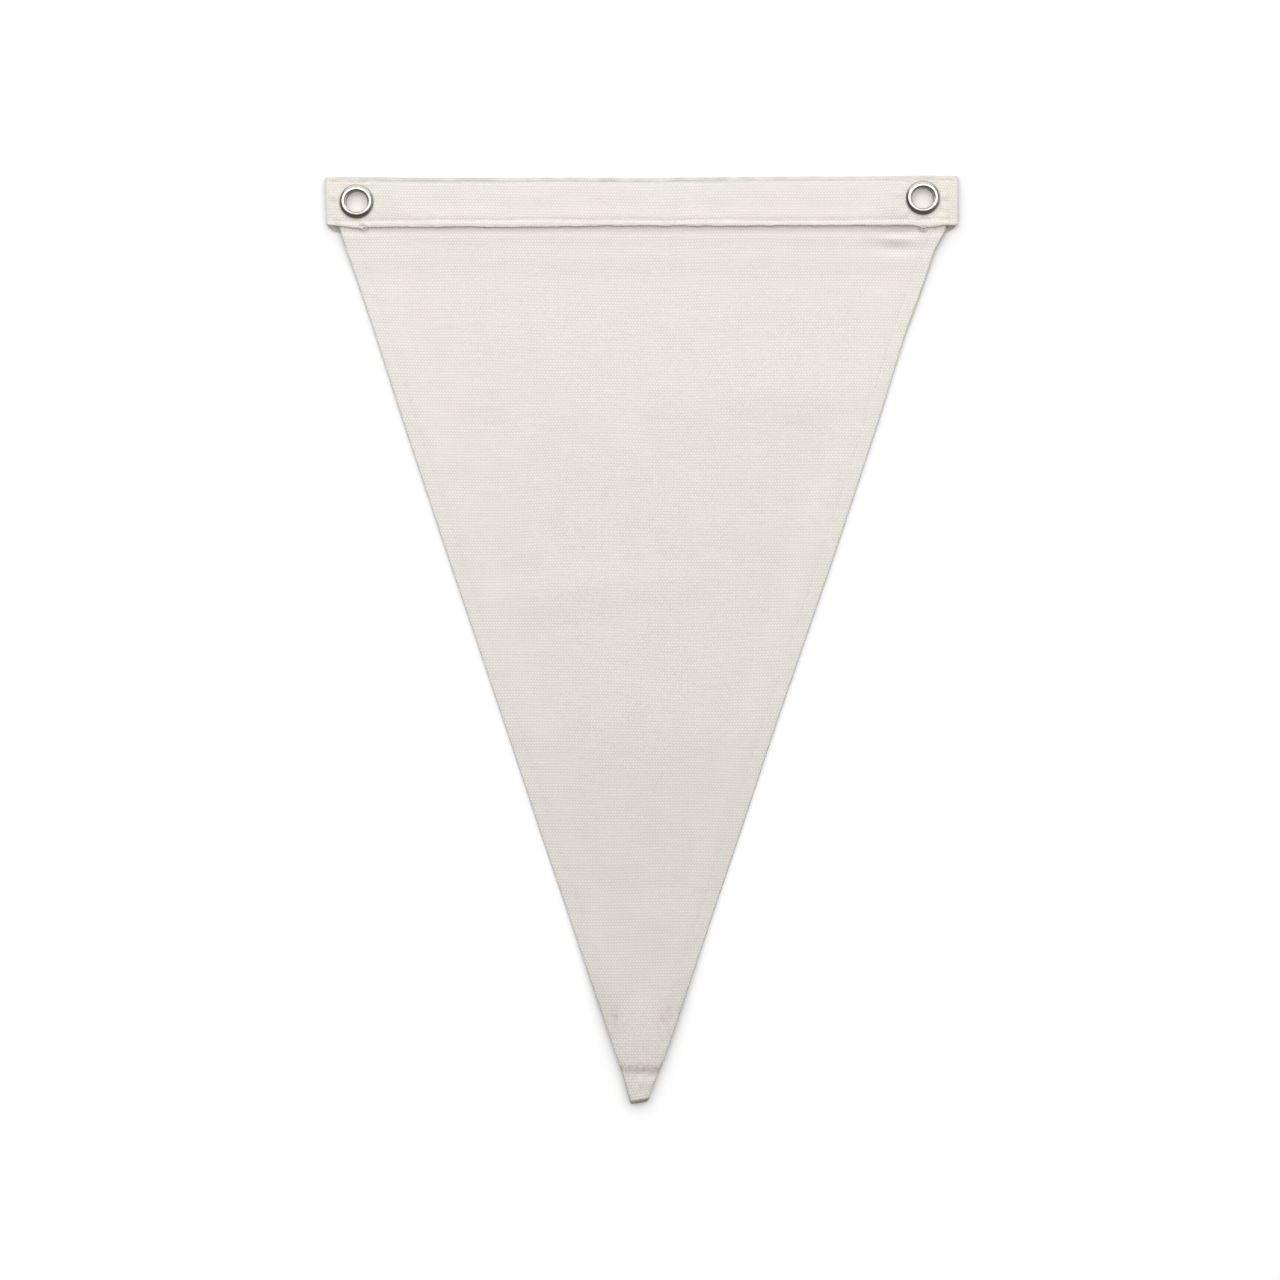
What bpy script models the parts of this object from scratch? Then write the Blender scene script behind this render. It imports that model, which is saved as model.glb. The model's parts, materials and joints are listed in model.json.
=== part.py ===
"""A heavy cotton canvas pennant flag that lies face up on a flat surface, with two eyelets in its heading.

Metres, +Z up. The origin is on the surface, under the middle of the flag. The heading runs along X at the
+Y end, and the point of the pennant is at the -Y end.
"""

import math

import bmesh
import bpy
from mathutils import Vector

MM = 0.001

# The whole flag
FLAG_LENGTH = 457.0 * MM
CANVAS = 1.0 * MM
CLEARANCE = 0.3 * MM

# The body: side hems turned to the back, and a point that is folded up to the back
HEM_WIDTH = 8.0 * MM
HEM_SLIT = 0.2 * MM
EASE_WIDTH = 18.0 * MM
INSERT_DEPTH = 4.5 * MM
SEAM_PRESS = 0.75
SEAM_EASE_START = 1.0 * MM
SEAM_EASE_RUN = 3.0 * MM
FOLDED_POINT = 15.0 * MM
FOLDED_STEPS = 4
TIP_FOLD_SLIT = 0.3 * MM
TIP_SKEW = 0.17
SKEW_START = 416.0 * MM
SKEW_RUN = 12.0 * MM
POINT_TAPER = 0.12
FOLD_PINCH = 0.10

# The point lies on its folded part, so the body climbs to it. A row of sewing across holds the fold down.
TIP_RISE_START = 322.0 * MM
TIP_RISE_RUN = 90.0 * MM
TIP_ROW = 416.8 * MM
TIP_ROW_PRESS = 0.27
TIP_ROW_RUN = 2.6 * MM

# The stretch between the hems sags to the surface where the body is wide, and stays up where it is narrow
HEM_SHARE = 0.40
EASE_SHARE = 0.30
STIFF_HALF_WIDTH = 12.0 * MM
SAG_RUN = 40.0 * MM

# The heading: one strip folded over the body's top edge
HEADING_LENGTH = 312.6 * MM
HEADING_DEPTH = 24.9 * MM
HEADING_TILT = 0.002
BACK_LEAF_SHOWS = 1.2 * MM
CORNER_GAP = 3.2 * MM
FOLD_HEIGHT = 2.6 * MM
END_HEIGHT = 3.4 * MM
END_ROUND = 0.8 * MM
ROUND_SHARE = 0.85
PUFF = 0.25 * MM
LEAF_BEVEL = 0.2 * MM
FOLD_ARC_STEPS = 4

# Where the front leaf changes height: past the body's corners, towards the ends, and up to the fold
BESIDE_BODY_RUN = 4.0 * MM
END_RISE_START = 112.0 * MM
END_RISE_RUN = 14.0 * MM
FOLD_EASE_START = 3.0 * MM
FOLD_EASE_RUN = 9.0 * MM

# Rows of points across the heading's back and front, in millimetres above its lower edge
BACK_ROWS = (3.0, 5.5, 8.0, 10.5, 13.0, 15.5, 18.0, 20.5, 22.2)
FRONT_ROWS = (20.5, 18.0, 15.5, 13.0, 10.5, 8.0, 5.5, 3.5, 1.6)

# Stations along the heading: wide steps between the eyelets, fine ones round them
WIDE_REACH = 120.0 * MM
WIDE_STEPS = 20
FINE_START = 122.5 * MM
FINE_STEPS = 12

# The eyelets: bore, barrel, flange in front and rolled rim at the back
EYELET_LEFT = (-140.7 * MM, 13.0 * MM)
EYELET_RIGHT = (138.4 * MM, 14.8 * MM)
BORE_RADIUS = 5.25 * MM
BARREL_WALL = 0.5 * MM
FLANGE_RADIUS = 8.4 * MM
FLANGE_HEIGHT = 1.5 * MM
ROLL_RADIUS = 7.05 * MM
ROLL_HEIGHT = 0.5 * MM
PRESSED_TOP = 3.7 * MM
PRESSED_RADIUS = 10.4 * MM
PRESSED_EASE = 3.2 * MM
LIFTED_RADIUS = 9.2 * MM
LIFTED_EASE = 3.0 * MM
CLOTH_HOLE_RADIUS = 6.4 * MM
CLOTH_HOLE_SIDES = 32
CUTTER_HEIGHT = 20.0 * MM
CUTTER_OVERHANG = 3.0 * MM
EYELET_SEGMENTS = 24

# How high the body lies where the heading's back leaf carries it
LEAF_TOP = CANVAS
SEAT = LEAF_TOP + CLEARANCE
HEM_RISE = CANVAS + HEM_SLIT
HEM_STACK = HEM_RISE + CANVAS
TIP_LIFT = HEM_STACK + TIP_FOLD_SLIT

# Sections of the body in millimetres: the distance below the heading's lower edge, the left and the right
# side edge, and how high the heading's back leaf holds the hems over the surface.
DOWN, LEFT, RIGHT, LIFT = range(4)
SECTIONS = (
    (-4.5, -149.3, 150.0, 1.3),
    (0.0, -149.3, 150.0, 1.3),
    (2.0, -148.7, 149.2, 1.3),
    (11.0, -145.9, 144.4, 0.7),
    (26.0, -141.0, 139.5, 0.0),
    (51.5, -132.5, 130.1, 0.0),
    (94.9, -118.6, 117.0, 0.0),
    (163.9, -95.6, 94.2, 0.0),
    (242.8, -69.0, 67.0, 0.0),
    (302.0, -49.3, 47.4, 0.0),
    (376.0, -23.9, 22.2, 0.0),
    (400.5, -15.4, 14.0, 0.0),
    (410.5, -11.8, 10.2, 0.0),
    (416.8, -9.6, 7.6, 0.0),
    (422.6, -7.8, 5.6, 0.0),
    (428.9, -6.1, 3.3, 0.0),
)

# Soft creases of the cloth in millimetres: the crest's middle (x, distance below the heading), its half
# length, its half width, its height and the slope of its line.
CREASES = (
    (128.0, 6.0, 17.0, 4.5, 1.1, 0.05),
    (88.0, 9.0, 26.0, 7.0, 0.5, 0.04),
    (-137.0, 8.0, 12.0, 5.0, 0.5, -0.20),
    (75.0, 80.0, 55.0, 14.0, 0.7, 0.06),
    (-25.0, 178.0, 60.0, 11.0, 0.6, 0.09),
    (20.0, 252.0, 34.0, 20.0, 0.5, -0.05),
    (10.0, 344.0, 14.0, 13.0, 0.8, 0.15),
)

# Runs of stations down the body in millimetres: where each starts and ends, and its number of steps.
STATION_RUNS = (
    (-4.5, 1.0, 2),
    (1.0, 17.0, 6),
    (17.0, 33.0, 2),
    (33.0, 373.0, 20),
    (373.0, 411.6, 5),
    (411.6, 422.0, 8),
    (422.0, 422.6, 1),
    (422.6, 428.9, 2),
)
FOLD_STEPS = 6
HEM_ARC_STEPS = 4
EASE_STEPS = 3
CENTRE_STEPS = 8


def clear_scene():
    for obj in list(bpy.data.objects):
        bpy.data.objects.remove(obj, do_unlink=True)


def smooth(t):
    """0 up to t = 0, 1 from t = 1, and a soft S between."""
    t = min(max(t, 0.0), 1.0)
    return t * t * (3.0 - 2.0 * t)


def mix(a, b, t):
    return a + (b - a) * t


def finish(obj, color, roughness, metallic):
    """Gives the object its own material and smooth shading with crisp corners."""
    material = bpy.data.materials.new(obj.name + "_finish")
    material.use_nodes = True
    shader = material.node_tree.nodes["Principled BSDF"]
    shader.inputs["Base Color"].default_value = (*color, 1.0)
    shader.inputs["Roughness"].default_value = roughness
    shader.inputs["Metallic"].default_value = metallic
    obj.data.materials.append(material)
    obj.data.shade_smooth()
    obj.data.set_sharp_from_angle(angle=math.radians(40))


def new_object(name, mesh, parent, place=(0.0, 0.0, 0.0)):
    obj = bpy.data.objects.new(name, mesh)
    bpy.context.scene.collection.objects.link(obj)
    obj.location = place
    obj.parent = parent
    return obj


def loft(name, rings, paired):
    """A closed mesh through rings of points. A paired ring is a strip's outer side and then its inner side
    back again, and its end caps join each outer point to its inner one."""
    count = len(rings[0])
    bm = bmesh.new()
    verts = [[bm.verts.new(point) for point in ring] for ring in rings]
    for near, far in zip(verts, verts[1:]):
        for k in range(count):
            after = (k + 1) % count
            bm.faces.new((near[k], near[after], far[after], far[k]))
    for ring in (verts[0], verts[-1]):
        if paired:
            for k in range(count // 2 - 1):
                bm.faces.new((ring[k], ring[k + 1], ring[count - 2 - k], ring[count - 1 - k]))
        else:
            bm.faces.new(ring)
    bmesh.ops.recalc_face_normals(bm, faces=bm.faces)
    mesh = bpy.data.meshes.new(name)
    bm.to_mesh(mesh)
    bm.free()
    return mesh


# The body


def section_at(down):
    """The left edge, the right edge and the lift at a distance below the heading."""
    down_mm = down / MM
    for above, below in zip(SECTIONS, SECTIONS[1:]):
        if down_mm <= below[DOWN]:
            break
    t = (down_mm - above[DOWN]) / (below[DOWN] - above[DOWN])
    left = mix(above[LEFT], below[LEFT], t)
    right = mix(above[RIGHT], below[RIGHT], t)
    lift = mix(above[LIFT], below[LIFT], smooth(t)) * MM
    lift += TIP_LIFT * smooth((down - TIP_RISE_START) / TIP_RISE_RUN)
    return left * MM, right * MM, lift


def pressed_share(down):
    """How much of its thickness the hemmed cloth keeps under the sewing at the heading and at the point."""
    at_heading = mix(SEAM_PRESS, 1.0, smooth((down - SEAM_EASE_START) / SEAM_EASE_RUN))
    from_row = (down - TIP_ROW) / TIP_ROW_RUN
    return at_heading * (1.0 - TIP_ROW_PRESS * math.exp(-from_row * from_row))


def zones(left, right):
    """The widths of the hem and of the stretch beside it where the cloth comes down to the surface."""
    half = (right - left) / 2
    return min(HEM_WIDTH, HEM_SHARE * half), min(EASE_WIDTH, EASE_SHARE * half)


def panel_rise(x, left, right):
    """How far the hem underneath holds the cloth up at x. A narrow stretch hardly sags between its hems."""
    hem, ease = zones(left, right)
    sag = smooth(((right - left) / 2 - STIFF_HALF_WIDTH) / SAG_RUN)
    inside = min(x - left, right - x) - hem
    return HEM_RISE * (1.0 - sag * smooth(inside / ease))


def crease_height(x, down):
    """The height that the creases add. The seam holds them down at the heading."""
    height = 0.0
    for middle_x, middle_down, half_length, half_width, crest, slope in CREASES:
        along = (x / MM - middle_x) / half_length
        across = (down / MM - middle_down + slope * (x / MM - middle_x)) / half_width
        height += crest * MM * math.exp(-along * along - across * across)
    return height * smooth(down / SEAM_EASE_RUN)


def strip_section(left, right, down):
    """The cloth's middle line from the left hem's raw edge to the right one's: x, height and normal."""
    hem, ease = zones(left, right)
    radius = HEM_RISE / 2
    bend = radius + CANVAS / 2
    half_side = []
    half_side.append((hem, CANVAS / 2, 0.0, -1.0))
    for k in range(HEM_ARC_STEPS + 1):
        angle = math.pi * k / HEM_ARC_STEPS
        out, up = math.sin(angle), -math.cos(angle)
        half_side.append((bend - radius * out, CANVAS / 2 + radius + radius * up, -out, up))
    left_side = [(left + x, h, nx, nh) for x, h, nx, nh in half_side]
    right_side = [(right - x, h, -nx, nh) for x, h, nx, nh in reversed(half_side)]

    inner_left, inner_right = left + hem + ease, right - hem - ease
    xs = [left + hem + ease * k / EASE_STEPS for k in range(EASE_STEPS)]
    xs += [mix(inner_left, inner_right, k / CENTRE_STEPS) for k in range(CENTRE_STEPS + 1)]
    xs += [right - hem - ease * k / EASE_STEPS for k in reversed(range(EASE_STEPS))]

    def height(x):
        rise = panel_rise(x, left, right)
        free = 1.0 - rise / HEM_RISE
        return CANVAS / 2 + rise + free * crease_height(x, down)

    panel = []
    step = 0.5 * MM
    for x in xs:
        slope = (height(x + step) - height(x - step)) / (2 * step)
        size = math.hypot(slope, 1.0)
        panel.append((x, height(x), -slope / size, 1.0 / size))
    return left_side + panel + right_side


def strip_ring(section, place):
    """A closed ring of points round the strip's section, each put in space by place(x, height)."""
    outer = [place(x + nx * CANVAS / 2, h + nh * CANVAS / 2) for x, h, nx, nh in section]
    inner = [place(x - nx * CANVAS / 2, h - nh * CANVAS / 2) for x, h, nx, nh in section]
    return outer + inner[::-1]


def body_rings():
    downs = []
    for start, end, steps in STATION_RUNS:
        downs += [mix(start, end, k / steps) * MM for k in range(steps)]
    fold_down = STATION_RUNS[-1][1] * MM
    downs.append(fold_down)

    rings = []
    for down in downs:
        left, right, lift = section_at(down)
        middle = (left + right) / 2
        skew = TIP_SKEW * smooth((down - SKEW_START) / SKEW_RUN)
        press = pressed_share(down)

        def flat(x, h):
            return Vector((x, skew * (x - middle) - down, lift + press * h))

        rings.append(strip_ring(strip_section(left, right, down), flat))

    # The point turns under by half a circle, and then runs back along the underside.
    left, right, lift = section_at(fold_down)
    middle, half = (left + right) / 2, (right - left) / 2
    axis_height = TIP_LIFT - TIP_FOLD_SLIT / 2
    for k in range(1, FOLD_STEPS + FOLDED_STEPS + 1):
        angle = math.pi * min(k / FOLD_STEPS, 1.0)
        back = FOLDED_POINT * max(k - FOLD_STEPS, 0) / FOLDED_STEPS
        width = (half - POINT_TAPER * back) * (1.0 - FOLD_PINCH * math.sin(angle))

        def turned(x, h):
            reach = TIP_FOLD_SLIT / 2 + h
            y = back - fold_down - reach * math.sin(angle) + TIP_SKEW * (x - middle)
            return Vector((x, y, axis_height + reach * math.cos(angle)))

        rings.append(strip_ring(strip_section(middle - width, middle + width, fold_down), turned))
    return rings


# The heading


def eyelet_distance(x, up):
    return min(math.hypot(x - cx, up - cy) for cx, cy in (EYELET_LEFT, EYELET_RIGHT))


def lower_edge(x):
    """The front leaf's lower edge, which waves a little."""
    wave = 0.16 * math.sin(x / (11.5 * MM)) + 0.14 * math.sin(x / (29 * MM) + 1.0)
    return HEADING_TILT * x + wave * MM


def upper_edge(x):
    return HEADING_DEPTH + HEADING_TILT * x


def end_inset(x):
    """How far the section draws in where the strip's turned-in end is rounded."""
    t = (abs(x) - HEADING_LENGTH / 2 + END_ROUND) / END_ROUND
    t = min(max(t, 0.0), 1.0)
    return ROUND_SHARE * END_ROUND * (1.0 - math.sqrt(1.0 - t * t))


def slit_top(x):
    """The underside of the front leaf over the body's inserted edge."""
    left, right, _ = section_at(0.0)
    return SEAT + SEAM_PRESS * (panel_rise(x, left, right) + CANVAS) + CLEARANCE


def front_height(x, up):
    """The heading's front surface: high over the body's edge, lower at the fold, pressed at the eyelets."""
    left, right, _ = section_at(0.0)
    beside_body = smooth((abs(x) - (right - left) / 2) / BESIDE_BODY_RUN)
    over_end = smooth((abs(x) - END_RISE_START) / END_RISE_RUN)
    upper = mix(FOLD_HEIGHT, END_HEIGHT, over_end)
    lower = mix(slit_top(x) + CANVAS, END_HEIGHT, beside_body)
    share = min(max(up / HEADING_DEPTH, 0.0), 1.0)
    height = mix(lower, upper, smooth((up - FOLD_EASE_START) / FOLD_EASE_RUN))
    height += PUFF * math.sin(math.pi * share)
    pressed = 1.0 - smooth((eyelet_distance(x, up) - PRESSED_RADIUS) / PRESSED_EASE)
    return mix(height, PRESSED_TOP, pressed)


def back_height(x, up):
    """The heading's back surface: on the surface that it lies on, but lifted by each eyelet's rolled rim."""
    lifted = 1.0 - smooth((eyelet_distance(x, up) - LIFTED_RADIUS) / LIFTED_EASE)
    return (ROLL_HEIGHT + CLEARANCE) * lifted


def heading_ring(x):
    """The heading's outline at x: its back, the rounded fold, its front, and the ledge of the back leaf."""
    inset = end_inset(x)
    low, high = lower_edge(x) + inset, upper_edge(x) - inset
    back_edge = HEADING_TILT * x - BACK_LEAF_SHOWS + inset
    fold_back = back_height(x, high - FOLD_HEIGHT / 2)
    fold_bulge = (front_height(x, high) - fold_back) / 2 - inset
    points = []
    points.append((back_edge + LEAF_BEVEL, inset))
    for up in BACK_ROWS:
        points.append((up * MM, back_height(x, up * MM) + inset))
    for k in range(FOLD_ARC_STEPS + 1):
        angle = math.pi * (k / FOLD_ARC_STEPS - 0.5)
        up = high - fold_bulge * (1.0 - math.cos(angle))
        points.append((up, fold_back + inset + fold_bulge * (1.0 + math.sin(angle))))
    for up in FRONT_ROWS:
        points.append((up * MM, front_height(x, up * MM) - inset))
    edge_height = front_height(x, low) - inset
    ledge_height = LEAF_TOP - LEAF_BEVEL
    points.append((low + LEAF_BEVEL, edge_height))
    points.append((low, edge_height - LEAF_BEVEL))
    points.append((low, ledge_height))
    points.append((back_edge + LEAF_BEVEL / 2, ledge_height))
    points.append((back_edge, (ledge_height + inset) / 2))
    return [Vector((x, up, height)) for up, height in points]


def heading_stations():
    half = HEADING_LENGTH / 2
    wide = [mix(-WIDE_REACH, WIDE_REACH, k / WIDE_STEPS) for k in range(WIDE_STEPS + 1)]
    fine = [mix(FINE_START, half - END_ROUND, k / FINE_STEPS) for k in range(FINE_STEPS + 1)]
    fine += [half - END_ROUND / 3, half]
    return [-x for x in reversed(fine)] + wide + fine


def slit_cutter(parent):
    """The space between the leaves for the body's top edge. It tapers shut past the body's corners."""
    left, right, _ = section_at(0.0)
    shut = LEAF_TOP + 2 * CLEARANCE
    tops = {left - CORNER_GAP: shut, right + CORNER_GAP: shut}
    over_body = [left - CLEARANCE, right + CLEARANCE]
    for k in range(EASE_STEPS + 1):
        inside = HEM_WIDTH + EASE_WIDTH * k / EASE_STEPS
        over_body += [left + inside, right - inside]
    tops.update({x: slit_top(x) for x in over_body})
    inner, outer = INSERT_DEPTH + CLEARANCE, -CUTTER_OVERHANG
    rings = []
    for x, top in sorted(tops.items()):
        corners = ((outer, LEAF_TOP), (inner, LEAF_TOP), (inner, top), (outer, top))
        rings.append([Vector((x, up, height)) for up, height in corners])
    return new_object("slit_cutter", loft("slit_cutter", rings, False), parent)


def hole_cutter(name, place, parent):
    bm = bmesh.new()
    bmesh.ops.create_cone(
        bm,
        cap_ends=True,
        segments=CLOTH_HOLE_SIDES,
        radius1=CLOTH_HOLE_RADIUS,
        radius2=CLOTH_HOLE_RADIUS,
        depth=CUTTER_HEIGHT,
    )
    mesh = bpy.data.meshes.new(name)
    bm.to_mesh(mesh)
    bm.free()
    return new_object(name, mesh, parent, (*place, 0.0))


def cut(obj, cutter):
    cutter.hide_render = True
    cutter.display_type = "WIRE"
    boolean = obj.modifiers.new("cut_" + cutter.name, "BOOLEAN")
    boolean.operation = "DIFFERENCE"
    boolean.solver = "EXACT"
    boolean.object = cutter


def make_body(heading_line):
    body = new_object("flag_body", loft("flag_body", body_rings(), True), heading_line)
    finish(body, (0.74, 0.71, 0.66), 0.92, 0.0)


def make_heading(heading_line):
    rings = [heading_ring(x) for x in heading_stations()]
    heading = new_object("heading_band", loft("heading_band", rings, False), heading_line)
    cut(heading, slit_cutter(heading_line))
    cut(heading, hole_cutter("left_hole_cutter", EYELET_LEFT, heading_line))
    cut(heading, hole_cutter("right_hole_cutter", EYELET_RIGHT, heading_line))
    finish(heading, (0.78, 0.75, 0.70), 0.92, 0.0)


# The eyelets


def eyelet_profile():
    """Radius and height of the turned profile, all in millimetres over the surface that the flag lies on."""
    base = (PRESSED_TOP + CLEARANCE) / MM
    rim = base + FLANGE_HEIGHT / MM
    flange, roll = FLANGE_RADIUS / MM, ROLL_RADIUS / MM
    bore, wall = BORE_RADIUS / MM, BARREL_WALL / MM
    roll_top = ROLL_HEIGHT / MM
    return (
        (flange, base),
        (flange - 0.10, base + 0.25),
        (flange - 0.60, base + 0.85),
        (flange - 1.05, rim - 0.20),
        (flange - 1.60, rim),
        (flange - 2.10, rim - 0.15),
        (flange - 2.40, rim - 0.50),
        (bore + 0.42, base + 0.10),
        (bore + 0.10, 2.00),
        (bore, roll_top + 0.10),
        (bore + 0.15, 0.15),
        (bore + 0.50, 0.00),
        (roll - 0.35, 0.00),
        (roll, 0.20),
        (roll - 0.15, roll_top),
        (bore + wall + 0.25, roll_top),
        (bore + wall + 0.05, roll_top + 0.30),
        (bore + wall + 0.10, 2.00),
        (bore + wall + 0.35, base),
    )


def eyelet_mesh():
    """The profile spun round the bore's axis. Both eyelets share this mesh."""
    profile = eyelet_profile()
    bm = bmesh.new()
    verts = [bm.verts.new((radius * MM, 0.0, height * MM)) for radius, height in profile]
    edges = [bm.edges.new((verts[k - 1], verts[k])) for k in range(len(verts))]
    bmesh.ops.spin(
        bm,
        geom=verts + edges,
        cent=(0.0, 0.0, 0.0),
        axis=(0.0, 0.0, 1.0),
        angle=2.0 * math.pi,
        steps=EYELET_SEGMENTS,
        use_merge=True,
    )
    bmesh.ops.remove_doubles(bm, verts=bm.verts, dist=0.001 * MM)
    bmesh.ops.recalc_face_normals(bm, faces=bm.faces)
    mesh = bpy.data.meshes.new("eyelet")
    bm.to_mesh(mesh)
    bm.free()
    return mesh


def make_eyelets(heading_line):
    mesh = eyelet_mesh()
    for name, place in (("eyelet_left", EYELET_LEFT), ("eyelet_right", EYELET_RIGHT)):
        eyelet = new_object(name, mesh.copy(), heading_line, (*place, 0.0))
        finish(eyelet, (0.72, 0.71, 0.69), 0.22, 1.0)


def main():
    clear_scene()
    # Everything hangs from the line of the heading's lower edge, so the flag is centred on the origin.
    heading_line = bpy.data.objects.new("heading_line", None)
    bpy.context.scene.collection.objects.link(heading_line)
    top = upper_edge(HEADING_LENGTH / 2 - END_ROUND)
    heading_line.location = (0.0, FLAG_LENGTH / 2 - top, 0.0)
    make_body(heading_line)
    make_heading(heading_line)
    make_eyelets(heading_line)


main()
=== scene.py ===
# %% [markdown]
# # A canvas pennant, hemmed, folded and set with eyelets
# The flag lies face up on a white table. It is made of four things: a long triangle of heavy undyed
# canvas, a strip of the same canvas folded over its top edge, and two nickel-plated eyelets. The packed
# solids have the true sizes already. This lesson dresses them: the cloth is built again with a finer
# shape, it is sewn, and every surface gets a finish.

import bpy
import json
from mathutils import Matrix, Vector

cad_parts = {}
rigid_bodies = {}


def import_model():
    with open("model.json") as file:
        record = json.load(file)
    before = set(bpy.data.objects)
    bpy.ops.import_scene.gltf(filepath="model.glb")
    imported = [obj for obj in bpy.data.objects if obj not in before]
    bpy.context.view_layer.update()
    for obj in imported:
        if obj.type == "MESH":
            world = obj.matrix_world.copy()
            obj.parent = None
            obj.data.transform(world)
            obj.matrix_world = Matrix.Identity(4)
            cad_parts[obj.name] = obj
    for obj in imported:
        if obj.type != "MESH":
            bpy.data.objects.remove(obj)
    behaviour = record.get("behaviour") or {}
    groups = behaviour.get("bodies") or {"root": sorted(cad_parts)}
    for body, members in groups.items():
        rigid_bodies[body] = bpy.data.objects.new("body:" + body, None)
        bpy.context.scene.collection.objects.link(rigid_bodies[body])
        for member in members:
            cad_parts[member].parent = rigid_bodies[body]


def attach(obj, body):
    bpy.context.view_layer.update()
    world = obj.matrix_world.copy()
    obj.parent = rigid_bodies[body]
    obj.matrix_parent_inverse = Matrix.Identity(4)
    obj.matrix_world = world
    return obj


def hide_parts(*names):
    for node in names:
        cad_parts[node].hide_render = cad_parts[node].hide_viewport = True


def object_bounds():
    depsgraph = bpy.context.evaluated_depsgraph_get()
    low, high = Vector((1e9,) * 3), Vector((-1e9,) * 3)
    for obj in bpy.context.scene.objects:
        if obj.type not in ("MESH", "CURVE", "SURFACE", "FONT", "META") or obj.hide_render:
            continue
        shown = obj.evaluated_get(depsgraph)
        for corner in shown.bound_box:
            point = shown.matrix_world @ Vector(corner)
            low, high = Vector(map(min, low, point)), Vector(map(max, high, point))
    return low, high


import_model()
solid_low, solid_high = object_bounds()
print("solids:", [round(value, 4) for value in (*solid_low, *solid_high)])

# %% [markdown]
# ## Helpers
# All sizes are in metres, so a millimetre gets a name. A soft step and a bell curve shape most of the
# cloth, and smooth noise makes it uneven. The noise is a fixed function of the place, so each run gives
# the same cloth.

# %% Millimetres, soft steps and unevenness
import json
import math

import bmesh
import bpy
from mathutils import Vector, noise

MM = 0.001


def smooth(t):
    """0 up to t = 0, 1 from t = 1, and a soft S between."""
    t = min(max(t, 0.0), 1.0)
    return t * t * (3.0 - 2.0 * t)


def mix(a, b, t):
    return a + (b - a) * t


def bell(distance, half_width):
    """1 at distance 0, falling to nothing a few half widths away."""
    return math.exp(-((distance / half_width) ** 2))


def uneven(x, y, size, layer):
    """Smooth noise, roughly -0.5 to 0.5, with bumps about `size` wide. Each layer is another pattern."""
    return noise.noise(Vector((x / size, y / size, layer * 7.31)))


# %% [markdown]
# ## The sizes of the flag
# The cloth is one millimetre thick. Places on it are given from the lower edge of the heading: `down`
# towards the point and `up` towards the fold. The heading is a hair deeper at its right end, and the two
# eyelets sit at slightly different heights, because a person folded and punched it.

# %% Sizes shared by all pieces
CANVAS = 1.0 * MM
CLEARANCE = 0.3 * MM

HEM_WIDTH = 8.0 * MM
HEM_SLIT = 0.2 * MM
HEM_RISE = CANVAS + HEM_SLIT
HEM_BEND = HEM_RISE / 2 + CANVAS / 2
EASE_WIDTH = 18.0 * MM
SEAT = CANVAS + CLEARANCE
SEAM_PRESS = 0.75

HEADING_HALF = 156.3 * MM
HEADING_DEPTH = 25.4 * MM
SOLID_HEADING_TOP = 25.211 * MM
END_ROUND = 0.8 * MM
EYELETS = ((-140.7 * MM, 13.0 * MM), (138.4 * MM, 14.8 * MM))

SEAM_LINE_Y = solid_high.y - SOLID_HEADING_TOP
print("the heading's lower edge lies at y =", round(SEAM_LINE_Y, 5))

# %% [markdown]
# ## The body: outline and relief
# The outline is a table of sections, because cut and hemmed canvas never has perfectly straight sides. A
# second table holds the soft creases that the cloth keeps from being stored. What is left over is small
# noise, about a tenth of a millimetre, which is enough to break up the light.

# %% Sections and creases of the body
DOWN, LEFT, RIGHT, LIFT = range(4)
SECTIONS = (
    (-4.5, -149.3, 150.0, 1.3),
    (0.0, -149.3, 150.0, 1.3),
    (2.0, -148.7, 149.2, 1.3),
    (11.0, -145.9, 144.4, 0.7),
    (26.0, -140.7, 139.6, 0.0),
    (51.5, -132.1, 130.3, 0.0),
    (94.9, -118.2, 117.0, 0.0),
    (163.9, -95.3, 94.2, 0.0),
    (242.8, -68.6, 67.0, 0.0),
    (302.0, -49.0, 47.4, 0.0),
    (376.0, -23.8, 22.5, 0.0),
    (400.5, -15.6, 14.4, 0.0),
    (410.5, -12.0, 10.6, 0.0),
    (416.8, -9.8, 8.0, 0.0),
    (422.6, -8.0, 6.0, 0.0),
    (428.9, -6.3, 3.7, 0.0),
)

# The crest's middle (x, down), its half length, half width and height in millimetres, and its line's slope.
CREASES = (
    (128.0, 5.6, 10.0, 2.0, 1.35, -0.05),
    (128.5, 10.3, 10.0, 2.4, -1.4, -0.05),
    (-137.0, 8.0, 12.0, 5.0, 0.5, -0.20),
    (75.0, 80.0, 55.0, 14.0, 0.7, 0.06),
    (-25.0, 178.0, 60.0, 11.0, 0.6, 0.09),
    (20.0, 252.0, 34.0, 20.0, 0.5, -0.05),
    (10.0, 344.0, 14.0, 13.0, 0.8, 0.15),
    (-12.4, 389.0, 3.2, 6.0, -1.1, 0.6),
    (11.0, 388.0, 3.2, 6.0, -1.1, -0.6),
    (-1.0, 392.0, 4.5, 12.0, 0.7, 0.0),
    (-6.5, 411.0, 3.0, 2.5, -0.5, 0.3),
    (4.0, 409.0, 4.0, 2.5, -0.5, -0.2),
)

TIP_FOLD_SLIT = 0.3 * MM
TIP_LIFT = HEM_RISE + CANVAS + TIP_FOLD_SLIT
TIP_RISE_START = 322.0 * MM
TIP_RISE_RUN = 90.0 * MM
TIP_ROW = 416.8 * MM
TIP_SKEW = 0.17


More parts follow.
